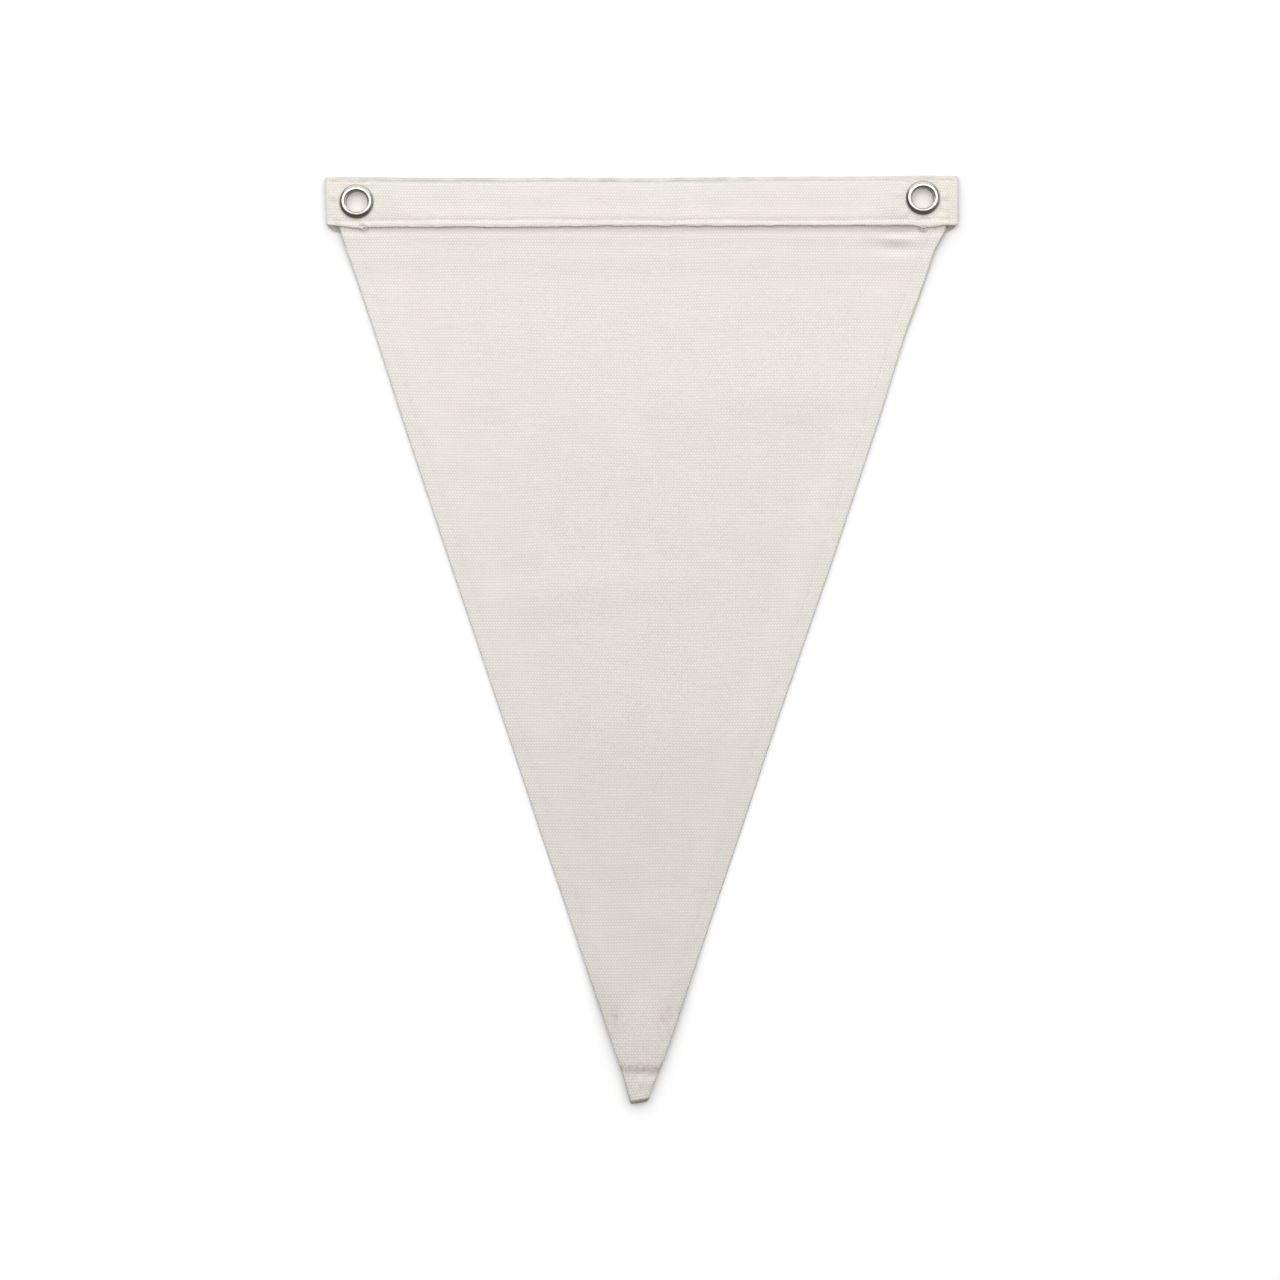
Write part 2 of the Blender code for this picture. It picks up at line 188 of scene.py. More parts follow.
def section_at(down):
    """The left edge, the right edge and the lift of the hems at a distance below the heading."""
    down_mm = down / MM
    for above, below in zip(SECTIONS, SECTIONS[1:]):
        if down_mm <= below[DOWN]:
            break
    t = (down_mm - above[DOWN]) / (below[DOWN] - above[DOWN])
    left = mix(above[LEFT], below[LEFT], t) * MM
    right = mix(above[RIGHT], below[RIGHT], t) * MM
    lift = mix(above[LIFT], below[LIFT], smooth(t)) * MM
    return left, right, lift + TIP_LIFT * smooth((down - TIP_RISE_START) / TIP_RISE_RUN)


def pressed_share(down):
    """How much of its thickness the cloth keeps under the sewing at the heading and at the point."""
    at_heading = mix(SEAM_PRESS, 1.0, smooth((down - 1.0 * MM) / (3.0 * MM)))
    return at_heading * (1.0 - 0.27 * bell(down - TIP_ROW, 2.6 * MM))


def zones(left, right):
    """The widths of the hem and of the stretch beside it where the cloth comes down to the table."""
    half = (right - left) / 2
    return min(HEM_WIDTH, 0.40 * half), min(EASE_WIDTH, 0.30 * half)


def panel_rise(x, left, right):
    """How far the hem underneath holds the cloth up at x."""
    hem, ease = zones(left, right)
    sag = smooth(((right - left) / 2 - 12 * MM) / (40 * MM))
    inside = min(x - left, right - x) - hem
    return HEM_RISE * (1.0 - sag * smooth(inside / ease))


def crease_height(x, down):
    height = 0.0
    for middle_x, middle_down, half_length, half_width, crest, slope in CREASES:
        along = (x / MM - middle_x) / half_length
        across = (down / MM - middle_down + slope * (x / MM - middle_x)) / half_width
        height += crest * MM * math.exp(-along * along - across * across)
    return height


def creases_at(x, down, rise):
    """The creases, weaker where the hem lies underneath, and none under the heading."""
    free = 1.0 - rise / HEM_RISE
    return mix(0.35, 1.0, free) * crease_height(x, down) * smooth(down / (3 * MM))


print("the body is", round(SECTIONS[0][RIGHT] - SECTIONS[0][LEFT]), "mm wide under the heading")

# %% [markdown]
# ## The rows of sewing and the cloth beside them
# A lockstitch pulls the canvas down into a shallow groove, and the cloth beside it ripples a little. The
# grooves are part of the cloth's shape, so they show from every side. The hem's row runs near the hem's
# inner edge, at a fixed share of its width.

# %% Grooves, ripples and the lie of the cloth
ROW_SHARE = 0.84
GROOVE = 0.10 * MM
GROOVE_HALF_WIDTH = 0.75 * MM
BACK_GROOVE = 0.34 * MM
RIPPLE = 0.16 * MM
LIE = 0.16 * MM


def hem_row(left, right):
    """How far inside the edge the hem's row of sewing runs."""
    return mix(HEM_BEND, zones(left, right)[0], ROW_SHARE)


def lie_height(x, down):
    """Low unevenness of the whole cloth, held flat at the seam."""
    broad = uneven(x, down, 34 * MM, 1) + 0.5 * uneven(x, down, 12 * MM, 2)
    return LIE * broad * smooth(down / (6 * MM))


def sewn_relief(x, down, left, right):
    """The groove of the hem's row on the face, and the ripples beside it."""
    inside = min(x - left, right - x)
    from_row = inside - hem_row(left, right)
    ripples = uneven(down, x - left - inside, 5 * MM, 3) + 0.6 * uneven(down, x - left - inside, 17 * MM, 4)
    groove = -GROOVE * bell(from_row, GROOVE_HALF_WIDTH)
    return (groove + RIPPLE * ripples * bell(from_row, 3.2 * MM)) * smooth(down / (2 * MM))


# %% [markdown]
# ## Building the body as one folded sheet
# The cloth is a ribbon in cross-section: under each side it starts with the raw edge of the hem, turns
# round the side edge, and crosses the face. Lofting that ribbon from the heading to the point gives a
# closed sheet with a real thickness. A UV map in metres goes with it, so the weave later runs straight
# through the cloth and round its folds.

# %% One cross-section of the body
FLAP_SHARES = (1.0, 0.93, 0.88, 0.84, 0.80, 0.74, 0.55, 0.30)
FACE_SHARES = (0.12, 0.26, 0.40, 0.54, 0.66, 0.74, 0.79, 0.84, 0.89, 0.94, 1.0)
ARC_STEPS = 8
EASE_STEPS = 8
CENTRE_STEPS = 46


def cloth_section(left, right, down, across_groove=0.0):
    """The cloth's middle line: x, height, normal (x, height), extra relief on its outer side, and u."""
    hem, ease = zones(left, right)
    radius = HEM_RISE / 2
    side = []
    for share in FLAP_SHARES:
        x = mix(HEM_BEND, hem, share)
        dent = -BACK_GROOVE * bell(x - hem_row(left, right), GROOVE_HALF_WIDTH)
        side.append((x, CANVAS / 2, 0.0, -1.0, dent, 2 * HEM_BEND - math.pi * radius - x))
    for k in range(ARC_STEPS + 1):
        angle = math.pi * k / ARC_STEPS
        out, up = math.sin(angle), -math.cos(angle)
        u = HEM_BEND - radius * (math.pi - angle)
        side.append((HEM_BEND - radius * out, CANVAS / 2 + radius * (1.0 + up), -out, up, 0.0, u))

    inner_left, inner_right = left + hem + ease, right - hem - ease
    shoulder = [mix(HEM_BEND, hem, share) for share in FACE_SHARES]
    shoulder += [hem + ease * k / EASE_STEPS for k in range(1, EASE_STEPS)]
    xs = [left + inside for inside in shoulder]
    xs += [mix(inner_left, inner_right, k / CENTRE_STEPS) for k in range(CENTRE_STEPS + 1)]
    xs += [right - inside for inside in reversed(shoulder)]

    def height(x):
        rise = panel_rise(x, left, right)
        return CANVAS / 2 + rise + creases_at(x, down, rise) + lie_height(x, down)

    face = []
    step = 0.5 * MM
    for x in xs:
        slope = (height(x + step) - height(x - step)) / (2 * step)
        size = math.hypot(slope, 1.0)
        relief = sewn_relief(x, down, left, right) + across_groove
        face.append((x, height(x), -slope / size, 1.0 / size, relief, x))
    left_side = [(left + x, h, nx, nh, dent, left + u) for x, h, nx, nh, dent, u in side]
    right_side = [(right - x, h, -nx, nh, dent, right - u) for x, h, nx, nh, dent, u in reversed(side)]
    return left_side + face + right_side


def ribbon_ring(section, v, place):
    """The section's outer side and then its inner side back again, as (point, uv) pairs."""
    outer, inner = [], []
    for x, h, nx, nh, relief, u in section:
        far, near = CANVAS / 2 + relief, -CANVAS / 2
        outer.append((place(x + nx * far, h + nh * far), (u, v)))
        inner.append((place(x + nx * near, h + nh * near), (u, v)))
    return outer + inner[::-1]


# %% Stations from the heading to the folded point
def spread(start, end, step):
    """Evenly spaced stations from start up to end, which is left out."""
    count = max(1, round((end - start) / step))
    return [mix(start, end, k / count) for k in range(count)]


FOLD_DOWN = SECTIONS[-1][DOWN] * MM
FOLDED_POINT = 15.0 * MM
FOLD_STEPS = 12
FOLDED_STEPS = 16

stations = spread(SECTIONS[0][DOWN] * MM, 6 * MM, 1.05 * MM)
stations += spread(6 * MM, 404 * MM, 1.75 * MM)
stations += spread(404 * MM, FOLD_DOWN, 0.8 * MM)
stations.append(FOLD_DOWN)
print(len(stations), "stations down the body")


def body_place(down):
    """A function that puts a point of the section at `down` in space."""
    left, right, lift = section_at(down)
    middle = (left + right) / 2
    skew = TIP_SKEW * smooth((down - 416 * MM) / (12 * MM))
    press = pressed_share(down)

    def place(x, h):
        return Vector((x, SEAM_LINE_Y + skew * (x - middle) - down, max(lift + press * h, 0.0)))

    return place


def body_rings():
    rings = []
    for down in stations:
        left, right, _ = section_at(down)
        across = -GROOVE * bell(down - TIP_ROW, GROOVE_HALF_WIDTH)
        rings.append(ribbon_ring(cloth_section(left, right, down, across), -down, body_place(down)))

    # The point turns under by half a circle, and then runs back along the underside.
    left, right, _ = section_at(FOLD_DOWN)
    middle, half = (left + right) / 2, (right - left) / 2
    axis_height = TIP_LIFT - TIP_FOLD_SLIT / 2
    for k in range(1, FOLD_STEPS + FOLDED_STEPS + 1):
        angle = math.pi * min(k / FOLD_STEPS, 1.0)
        back = FOLDED_POINT * max(k - FOLD_STEPS, 0) / FOLDED_STEPS
        width = (half - 0.12 * back) * (1.0 - 0.10 * math.sin(angle))
        across = -BACK_GROOVE * bell(FOLD_DOWN - back - TIP_ROW, GROOVE_HALF_WIDTH)

        def turned(x, h):
            reach = TIP_FOLD_SLIT / 2 + h
            y = back - FOLD_DOWN - reach * math.sin(angle) + TIP_SKEW * (x - middle)
            height = axis_height + reach * math.cos(angle)
            return Vector((x, SEAM_LINE_Y + y, max(height, 0.0)))

        section = cloth_section(middle - width, middle + width, FOLD_DOWN, across)
        v = -FOLD_DOWN - 1.3 * MM * angle - back
        rings.append(ribbon_ring(section, v, turned))
    return rings


# %% [markdown]
# A loft joins ring to ring with quads. Its two ends are closed by joining each outer point to its inner
# one, which leaves the ribbon's own thickness as the cut edge of the cloth.

# %% Lofting rings into a mesh with a UV map in metres
def new_piece(name, mesh):
    piece = bpy.data.objects.new(name, mesh)
    bpy.context.scene.collection.objects.link(piece)
    return piece


def loft(name, rings):
    count = len(rings[0])
    points = [point for ring in rings for point, _ in ring]
    places = [uv for ring in rings for _, uv in ring]
    faces = []
    for r in range(len(rings) - 1):
        near, far = r * count, (r + 1) * count
        for k in range(count):
            after = (k + 1) % count
            faces.append((near + k, near + after, far + after, far + k))
    for first in (0, (len(rings) - 1) * count):
        for k in range(count // 2 - 1):
            faces.append((first + k, first + k + 1, first + count - 2 - k, first + count - 1 - k))
    mesh = bpy.data.meshes.new(name)
    mesh.from_pydata(points, [], faces)
    uv_map = mesh.uv_layers.new(name="cloth")
    for loop in mesh.loops:
        uv_map.data[loop.index].uv = places[loop.vertex_index]
    bm = bmesh.new()
    bm.from_mesh(mesh)
    bmesh.ops.recalc_face_normals(bm, faces=bm.faces)
    bm.to_mesh(mesh)
    bm.free()
    mesh.shade_smooth()
    mesh.set_sharp_from_angle(angle=math.radians(50))
    return mesh


def triangles(mesh):
    return sum(len(polygon.vertices) - 2 for polygon in mesh.polygons)


body = new_piece("body_cloth", loft("body_cloth", body_rings()))
print("body:", triangles(body.data), "triangles")

# %% [markdown]
# ## The heading
# The heading is a strip of the same canvas, folded along its top so that its two leaves take the body's
# edge between them. Its ends are turned in, which fills the strip there. It is thickest where it lies
# over the body, low at the fold, and pressed flat under the eyelets. Two rows of sewing and one across
# each end pull it down, so the strip looks like a long flat pillow.

# %% Edges of the heading and its height over the table
INSERT_DEPTH = 4.5 * MM
FOLD_HEIGHT = 2.6 * MM
END_HEIGHT = 3.4 * MM
ENDS_FROM = 112 * MM
ENDS_RUN = 14 * MM
PUFF = 0.25 * MM
SLIT_CLEARANCE = 0.08 * MM
EDGE_THICKNESS = 0.8 * MM
PRESSED_TOP = 3.7 * MM
PRESSED_RADIUS = 10.4 * MM
PRESSED_EASE = 3.2 * MM
LIFTED_RADIUS = 9.2 * MM
LIFTED_EASE = 3.0 * MM
ROLL_HEIGHT = 0.5 * MM


def eyelet_distance(x, up):
    return min(math.hypot(x - cx, up - cy) for cx, cy in EYELETS)


# The front leaf's lower edge, the fold on top and the back leaf's edge, as (x, up) in millimetres.
FRONT_EDGE = (
    (-156.3, 1.7),
    (-151.0, 1.1),
    (-146.5, 0.5),
    (-141.5, -0.1),
    (-138.0, -0.3),
    (-134.0, 0.4),
    (-131.0, 0.6),
    (-100.0, 0.6),
    (-93.5, 0.8),
    (-80.0, 0.5),
    (-60.0, 0.5),
    (-40.0, 0.9),
    (-20.0, 1.1),
    (60.0, 1.2),
    (112.0, 1.35),
    (134.0, 1.3),
    (137.0, 0.6),
    (141.0, 0.3),
    (145.5, 0.8),
    (149.0, 1.3),
    (156.3, 1.6),
)
TOP_EDGE = (
    (-156.3, 25.35),
    (-134.0, 25.3),
    (-119.0, 25.1),
    (-100.0, 25.0),
    (-60.0, 25.1),
    (-40.0, 25.2),
    (-20.0, 25.1),
    (0.0, 24.9),
    (28.0, 25.2),
    (58.0, 25.5),
    (88.0, 25.7),
    (122.0, 25.85),
    (156.3, 25.95),
)
BACK_EDGE = (
    (-156.3, 1.6),
    (-154.6, 0.4),
    (-153.2, -0.8),
    (-151.0, -1.5),
    (-148.0, -1.7),
    (-140.0, -1.3),
    (140.0, -1.3),
    (150.1, -1.6),
    (152.8, -0.5),
    (154.8, 0.9),
    (156.3, 2.6),
)


def edge_at(table, x):
    x_mm = min(max(x / MM, table[0][0]), table[-1][0])
    for one, two in zip(table, table[1:]):
        if x_mm <= two[0]:
            break
    return mix(one[1], two[1], (x_mm - one[0]) / (two[0] - one[0])) * MM


def lower_edge(x):
    pulled = 0.35 * uneven(x, 0.0, 7 * MM, 8) + 0.25 * uneven(x, 0.0, 2.4 * MM, 9)
    return edge_at(FRONT_EDGE, x) + pulled * MM


def upper_edge(x):
    return edge_at(TOP_EDGE, x) + 0.15 * MM * uneven(x, 0.0, 9 * MM, 10)


def end_lean(x, up):
    """The left end leans in towards the bottom, and the right end is folded a little short."""
    at_left = smooth((-x - 135 * MM) / (21 * MM)) * (1.0 - up / HEADING_DEPTH)
    return 0.9 * MM * at_left - 0.6 * MM * smooth((x - 135 * MM) / (21 * MM))


def end_inset(x):
    """How far the section draws in where the strip's turned-in end is rounded."""
    t = min(max((abs(x) - HEADING_HALF + END_ROUND) / END_ROUND, 0.0), 1.0)
    return 0.85 * END_ROUND * (1.0 - math.sqrt(1.0 - t * t))


def slit_top(x):
    """The underside of the front leaf over the body's inserted edge."""
    left, right, _ = section_at(0.0)
    return SEAT + SEAM_PRESS * (panel_rise(x, left, right) + CANVAS) + SLIT_CLEARANCE


def front_height(x, up):
    left, right, _ = section_at(0.0)
    beside_body = smooth((abs(x) - (right - left) / 2) / (4 * MM))
    upper = mix(FOLD_HEIGHT, END_HEIGHT, smooth((abs(x) - ENDS_FROM) / ENDS_RUN))
    at_edge = mix(EDGE_THICKNESS, CANVAS, smooth(up / (3 * MM)))
    lower = mix(slit_top(x) + at_edge, END_HEIGHT - 0.3 * MM, beside_body)
    share = min(max(up / HEADING_DEPTH, 0.0), 1.0)
    height = mix(lower, upper, smooth((up - 3 * MM) / (9 * MM))) + PUFF * math.sin(math.pi * share)
    pressed = 1.0 - smooth((eyelet_distance(x, up) - PRESSED_RADIUS) / PRESSED_EASE)
    return mix(height, PRESSED_TOP, pressed)


def back_height(x, up):
    lifted = 1.0 - smooth((eyelet_distance(x, up) - LIFTED_RADIUS) / LIFTED_EASE)
    return (ROLL_HEIGHT + CLEARANCE) * lifted


# %% [markdown]
# The rows of sewing are described once, as distances from the edges, and used three times: for the
# grooves, for the points of the cross-section that have to be close together there, and later for the
# thread itself.

# %% Sewing rows of the heading and the relief round them
UPPER_ROW = 2.2 * MM
LOWER_ROW_UP = 4.0 * MM
END_ROW = 152.3 * MM
HEADING_GROOVE = 0.30 * MM
TOP_GROOVE = 0.13 * MM


def lower_row(x):
    return LOWER_ROW_UP + 0.0012 * x + 0.5 * MM * uneven(x, 0.0, 30 * MM, 11)


def upper_row(x):
    return upper_edge(x) - UPPER_ROW


def row_distance(x, up):
    """How far a place on the heading is from the nearest row of sewing."""
    if abs(x) > END_ROW + 0.8 * MM:
        return abs(x) - END_ROW
    return min(abs(up - lower_row(x)), abs(up - upper_row(x)), abs(abs(x) - END_ROW))


def heading_relief(x, up):
    distance = row_distance(x, up)
    near_eyelet = eyelet_distance(x, up)
    by_fold = smooth((up - 0.8 * HEADING_DEPTH) / (3 * MM)) * smooth((END_ROW - 1.5 * MM - abs(x)) / MM)
    relief = -mix(HEADING_GROOVE, TOP_GROOVE, by_fold) * bell(distance, 0.9 * MM)
    relief += 0.16 * MM * uneven(x, up, 4.5 * MM, 5) * bell(distance, 2.6 * MM)
    relief += 0.16 * MM * uneven(x, up, 15 * MM, 6)
    relief += 0.22 * MM * smooth((lower_row(x) - up) / (2 * MM))
    x_from, up_from = min(((x - cx, up - cy) for cx, cy in EYELETS), key=lambda d: math.hypot(*d))
    turn = math.atan2(up_from, x_from)
    folds = math.sin(9 * turn + 4 * uneven(x, up, 9 * MM, 7)) + 0.7 * math.sin(15 * turn + 1.0)
    relief += 0.16 * MM * folds * bell(near_eyelet - 11.3 * MM, 2.6 * MM)
    clear_of_flange = smooth((near_eyelet - 8.2 * MM) / (1.4 * MM))
    return relief * clear_of_flange


# %% One cross-section of the heading
EDGE_OFFSETS = tuple(offset * MM for offset in (0.0, 0.05, 0.15, 0.30, 0.50))
ROW_OFFSETS = tuple(offset * MM for offset in (-1.2, -0.7, -0.35, 0.0, 0.35, 0.7, 1.2))
ROW_CLEAR = 1.7 * MM
HEADING_FOLD_STEPS = 10
MIDDLE_STEPS = 18
HAIRLINE = 0.01 * MM
TURNED_IN_FROM = 151.0 * MM
SLIT_HALF = 150.4 * MM


def edge_drop(offset, thickness):
    """How far a rounded cut edge has fallen at a distance inside it."""
    radius = EDGE_OFFSETS[-1]
    inside = min(offset, radius)
    round_off = radius - math.sqrt(radius * radius - (radius - inside) ** 2)
    return 0.9 * min(1.0, thickness / CANVAS) * round_off


def ups_between(low_row, high_row):
    """Points across a leaf, close together at both rows of sewing."""
    ups = [low_row + offset for offset in ROW_OFFSETS]
    start, end = low_row + ROW_CLEAR, high_row - ROW_CLEAR
    ups += [mix(start, end, k / MIDDLE_STEPS) for k in range(MIDDLE_STEPS + 1)]
    return ups + [high_row + offset for offset in ROW_OFFSETS[:-1]]


def heading_section(x):
    """(outer up, outer height, inner up, inner height) from the back leaf's edge to the front leaf's edge."""
    inset = end_inset(x)
    low, high = lower_edge(x) + inset, upper_edge(x) - inset
    back_edge = edge_at(BACK_EDGE, x) + inset
    turned_in = CANVAS + 1.2 * MM * smooth((abs(x) - TURNED_IN_FROM) / (2.5 * MM))
    fold_back = back_height(x, high - FOLD_HEIGHT / 2)
    bulge = (front_height(x, high) - fold_back) / 2 - inset
    axis = fold_back + inset + bulge
    fold_start = high - bulge

    def back_pair(up, offset):
        skin = back_height(x, up) + inset
        middle = (skin + front_height(x, max(up, low)) - inset) / 2
        inner = min(skin + turned_in, middle - HAIRLINE)
        drop = edge_drop(offset, inner - skin)
        dent = BACK_GROOVE * bell(row_distance(x, up), GROOVE_HALF_WIDTH)
        return (up, skin + drop + dent, up, inner - drop)

    def front_pair(up, offset):
        skin = front_height(x, up) - inset
        middle = (skin + back_height(x, up) + inset) / 2
        inner = max(skin - turned_in, middle + HAIRLINE)
        if up < INSERT_DEPTH + CLEARANCE and abs(x) < SLIT_HALF:
            inner = max(inner, slit_top(x))
        drop = edge_drop(offset, skin - inner)
        relief = heading_relief(x, up) * smooth((fold_start + 0.1 * MM - up) / (0.9 * MM))
        return (up, skin + relief - drop, up, inner + drop)

    pairs = [back_pair(back_edge + offset, offset) for offset in EDGE_OFFSETS]
    across = ups_between(lower_row(x), upper_row(x))
    pairs += [back_pair(up, CANVAS) for up in [back_edge + 1.2 * MM] + across]
    for k in range(HEADING_FOLD_STEPS + 1):
        angle = math.pi * (k / HEADING_FOLD_STEPS - 0.5)
        inner_radius = max(bulge - turned_in, HAIRLINE)
        out, rise = math.cos(angle), math.sin(angle)
        outer = (fold_start + bulge * out, axis + bulge * rise)
        pairs.append((*outer, fold_start + inner_radius * out, axis + inner_radius * rise))
    pairs += [front_pair(up, CANVAS) for up in reversed(across)]
    pairs += [front_pair(low + offset, offset) for offset in (1.5 * MM, 1.0 * MM, *reversed(EDGE_OFFSETS))]
    return pairs


def heading_ring(x):
    pairs = heading_section(x)
    lengths = [0.0]
    for one, two in zip(pairs, pairs[1:]):
        lengths.append(lengths[-1] + math.hypot(two[0] - one[0], two[1] - one[1]))
    crest = max(range(len(pairs)), key=lambda k: pairs[k][0])
    outer, inner = [], []
    for (up, h, inner_up, inner_h), length in zip(pairs, lengths):
        uv = (x, lengths[crest] - length)
        outer.append((Vector((x + end_lean(x, up), SEAM_LINE_Y + up, h)), uv))
        inner.append((Vector((x + end_lean(x, inner_up), SEAM_LINE_Y + inner_up, inner_h)), uv))
    return outer + inner[::-1]


print("points in a cross-section:", [len(heading_section(x * MM)) for x in (0, 138, 156)])


# %% [markdown]
# Loft the heading the same way. The stations stand closer at the two rounded ends. Then each eyelet's
# hole is cut through both leaves with a Boolean, which is the surest way to cut a round hole in a mesh of
# strips.

# %% The heading's cloth, with two holes
HOLE_RADIUS = 6.35 * MM
HOLE_SIDES = 64


def heading_stations():
    near_end = HEADING_HALF - END_ROUND
    xs = spread(0.0, 120 * MM, 0.8 * MM) + spread(120 * MM, near_end, 0.7 * MM)
    xs += [near_end + END_ROUND * share for share in (0.0, 0.3, 0.55, 0.75, 0.9, 0.98, 1.0)]
    return [-x for x in reversed(xs[1:])] + xs


def finished(piece, name):
    """A plain new mesh object from the piece with its modifiers applied. The old object goes."""
    graph = bpy.context.evaluated_depsgraph_get()
    mesh = bpy.data.meshes.new_from_object(piece.evaluated_get(graph))
    mesh.name = name
    bpy.data.objects.remove(piece)
    return new_piece(name, mesh)


def hole_cutter(place):
    bm = bmesh.new()
    bmesh.ops.create_cone(
        bm, cap_ends=True, segments=HOLE_SIDES, radius1=HOLE_RADIUS, radius2=HOLE_RADIUS, depth=20 * MM
    )
    bmesh.ops.translate(bm, verts=bm.verts, vec=Vector((place[0], SEAM_LINE_Y + place[1], 0.0)))
    mesh = bpy.data.meshes.new("hole_cutter")
    bm.to_mesh(mesh)
    bm.free()
    return new_piece("hole_cutter", mesh)


uncut = new_piece("heading_uncut", loft("heading_uncut", [heading_ring(x) for x in heading_stations()]))
cutters = [hole_cutter(place) for place in EYELETS]
for cutter in cutters:
    boolean = uncut.modifiers.new("hole", "BOOLEAN")
    boolean.operation = "DIFFERENCE"
    boolean.solver = "EXACT"
    boolean.object = cutter
heading = finished(uncut, "heading_cloth")
for cutter in cutters:
    bpy.data.objects.remove(cutter)
print("heading:", triangles(heading.data), "triangles")

# %% [markdown]
# Shade is painted into the cloth's colour where less light falls: a thin line where the hems turn round
# the side edges, under the heading's lower edge, in the dents and dips at the point, round the thread ends,
# along the heading's fold, and most of all on the back leaf that shows below the front one. Each canvas
# piece carries this as a small attribute of its own, with one value for painted shade, one for a warm tint
# (painted shade on the back leaf and side edges, a real stain under the heading's upper row) and one for how
# coarse the weave looks where the cloth was worked. The canvas material reads it.

# %% Painted shade, stain and coarseness as an attribute
KNOTS = ((-137.6 * MM, -0.1 * MM), (138.6 * MM, -0.2 * MM))


def paint(piece, painted_shade_at):
    """Store painted shade, a warm tint and coarseness, each 0 to 1, at every point of the piece."""
    painted_shade_stain_coarseness = piece.data.attributes.new("painted_shade_stain_coarseness", "FLOAT_VECTOR", "POINT")
    for vertex, stored in zip(piece.data.vertices, painted_shade_stain_coarseness.data):
        x, y, z = vertex.co
        stored.vector = painted_shade_at(x, SEAM_LINE_Y - y, z)


def knot_shade(x, up):
    """A painted shadow: the dark line round each thread end."""
    near = min(math.hypot((x - knot_x) / 1.5, up - knot_up) for knot_x, knot_up in KNOTS)
    return 0.60 * bell(near - 1.35 * MM, 0.35 * MM)


def slanted_patch(x, down, middle_x, middle_down, lean):
    across = x - middle_x - lean * (down - middle_down)
    return bell(across, 2.4 * MM) * bell(down - middle_down, 5.5 * MM)


def body_painted_shade(x, down, height):
    left, right, _ = section_at(min(max(down, SECTIONS[0][DOWN] * MM), FOLD_DOWN))
    inside = min(x - left, right - x)
    # Painted shade: a thin dark line where the cloth turns round the side edge, darker near the point.
    fold = smooth(1.0 - inside / (0.9 * MM))
    point = smooth((down - 404 * MM) / (12 * MM))
    # Painted shade under the heading's lower edge, stronger below the right corner.
    seam = smooth(1.0 - down / (4.0 * MM)) * (1.0 + 0.8 * bell(x - 128 * MM, 10 * MM))
    # Painted shade in the dip just above the sewn row across the point.
    row = bell(down - TIP_ROW + 2.6 * MM, 2.4 * MM) * (1.0 + 1.2 * uneven(x, down, 1.2 * MM, 14))
    # Painted shadow in the two dents above the point.
    dents = slanted_patch(x, down, -12.4 * MM, 389 * MM, 0.37)
    dents += slanted_patch(x, down, 11.2 * MM, 388 * MM, -0.36)
    painted_shade_marks = 0.34 * dents * smooth(0.6 + 1.6 * uneven(x, down, 2.4 * MM, 13))
    # Patchy painted shade over the point.
    painted_shade_marks += 0.12 * point * smooth(2.2 * uneven(x, down, 2.2 * MM, 15))
    # Painted shade beside the side edges near the point.
    point_edges = bell(inside, 5.0 * MM) * smooth((down - 362 * MM) / (28 * MM))
    point_edges *= 1.0 - 0.65 * smooth((down - 397 * MM) / (8 * MM))
    painted_shade_marks += 0.16 * point_edges * (1.0 + 0.9 * uneven(x, down, 2.4 * MM, 17))
    # Painted shade on the turned-under end of the point.
    past_fold = down - FOLD_DOWN + TIP_SKEW * (x + 1.4 * MM)
    painted_shade_marks += 0.80 * smooth((past_fold - 0.1 * MM) / (0.9 * MM))
    shade = (0.30 + 0.12 * point) * fold + 0.25 * seam + 0.26 * row + painted_shade_marks
    # Painted shade: the lower body a little darker towards the point, where the light falls off.
    lower_body = smooth((down - 210 * MM) / (90 * MM)) * smooth((395 * MM - down) / (25 * MM))
    shade += knot_shade(x, -down) + 0.05 * lower_body
    # The painted edge line is also tinted warm; the weave looks coarser towards the point.
    return shade, 0.25 * fold, smooth((down - 345 * MM) / (60 * MM))


def heading_painted_shade(x, down, height):
    up = -down
    below_front = lower_edge(x) - up
    back_leaf = smooth(below_front / (0.4 * MM))
    # Painted shade: the back leaf, where it shows below the front leaf, is dark as in the front leaf's
    # shadow, and lighter at the left end.
    back_shade = back_leaf * mix(0.95, 0.45, smooth((below_front - 0.6 * MM) / (2.2 * MM)))
    back_shade *= mix(0.75, 1.0, smooth((x + 100 * MM) / (200 * MM)))
    patchy = smooth(0.5 + 2.0 * uneven(x, up, 9 * MM, 16))
    # Painted shade along the fold above the upper row, patchy, and darker still at the very top.
    top_band = (0.13 + 0.18 * patchy) * smooth((up - upper_row(x) + 0.7 * MM) / (1.6 * MM))
    top_band += 0.18 * smooth((up - upper_edge(x) + 1.2 * MM) / MM)
    under_top = bell(up - upper_row(x) + 3.0 * MM, 2.2 * MM) * smooth((height - 1.5 * MM) / MM)
    blotches = smooth(0.5 + 2.5 * uneven(x, up, 20 * MM, 12))
    # The rounded ends get a little painted shade.
    ends = smooth((abs(x) - HEADING_HALF + 1.2 * MM) / MM)
    # Painted shadow round each thread end.
    top_band += knot_shade(x, up)
    # The back leaf is also tinted brown with its painted shade; a warm stain lies under the upper row.
    return back_shade + top_band + 0.15 * ends, 0.8 * back_leaf + 0.30 * under_top * blotches, -0.3


paint(body, body_painted_shade)
paint(heading, heading_painted_shade)

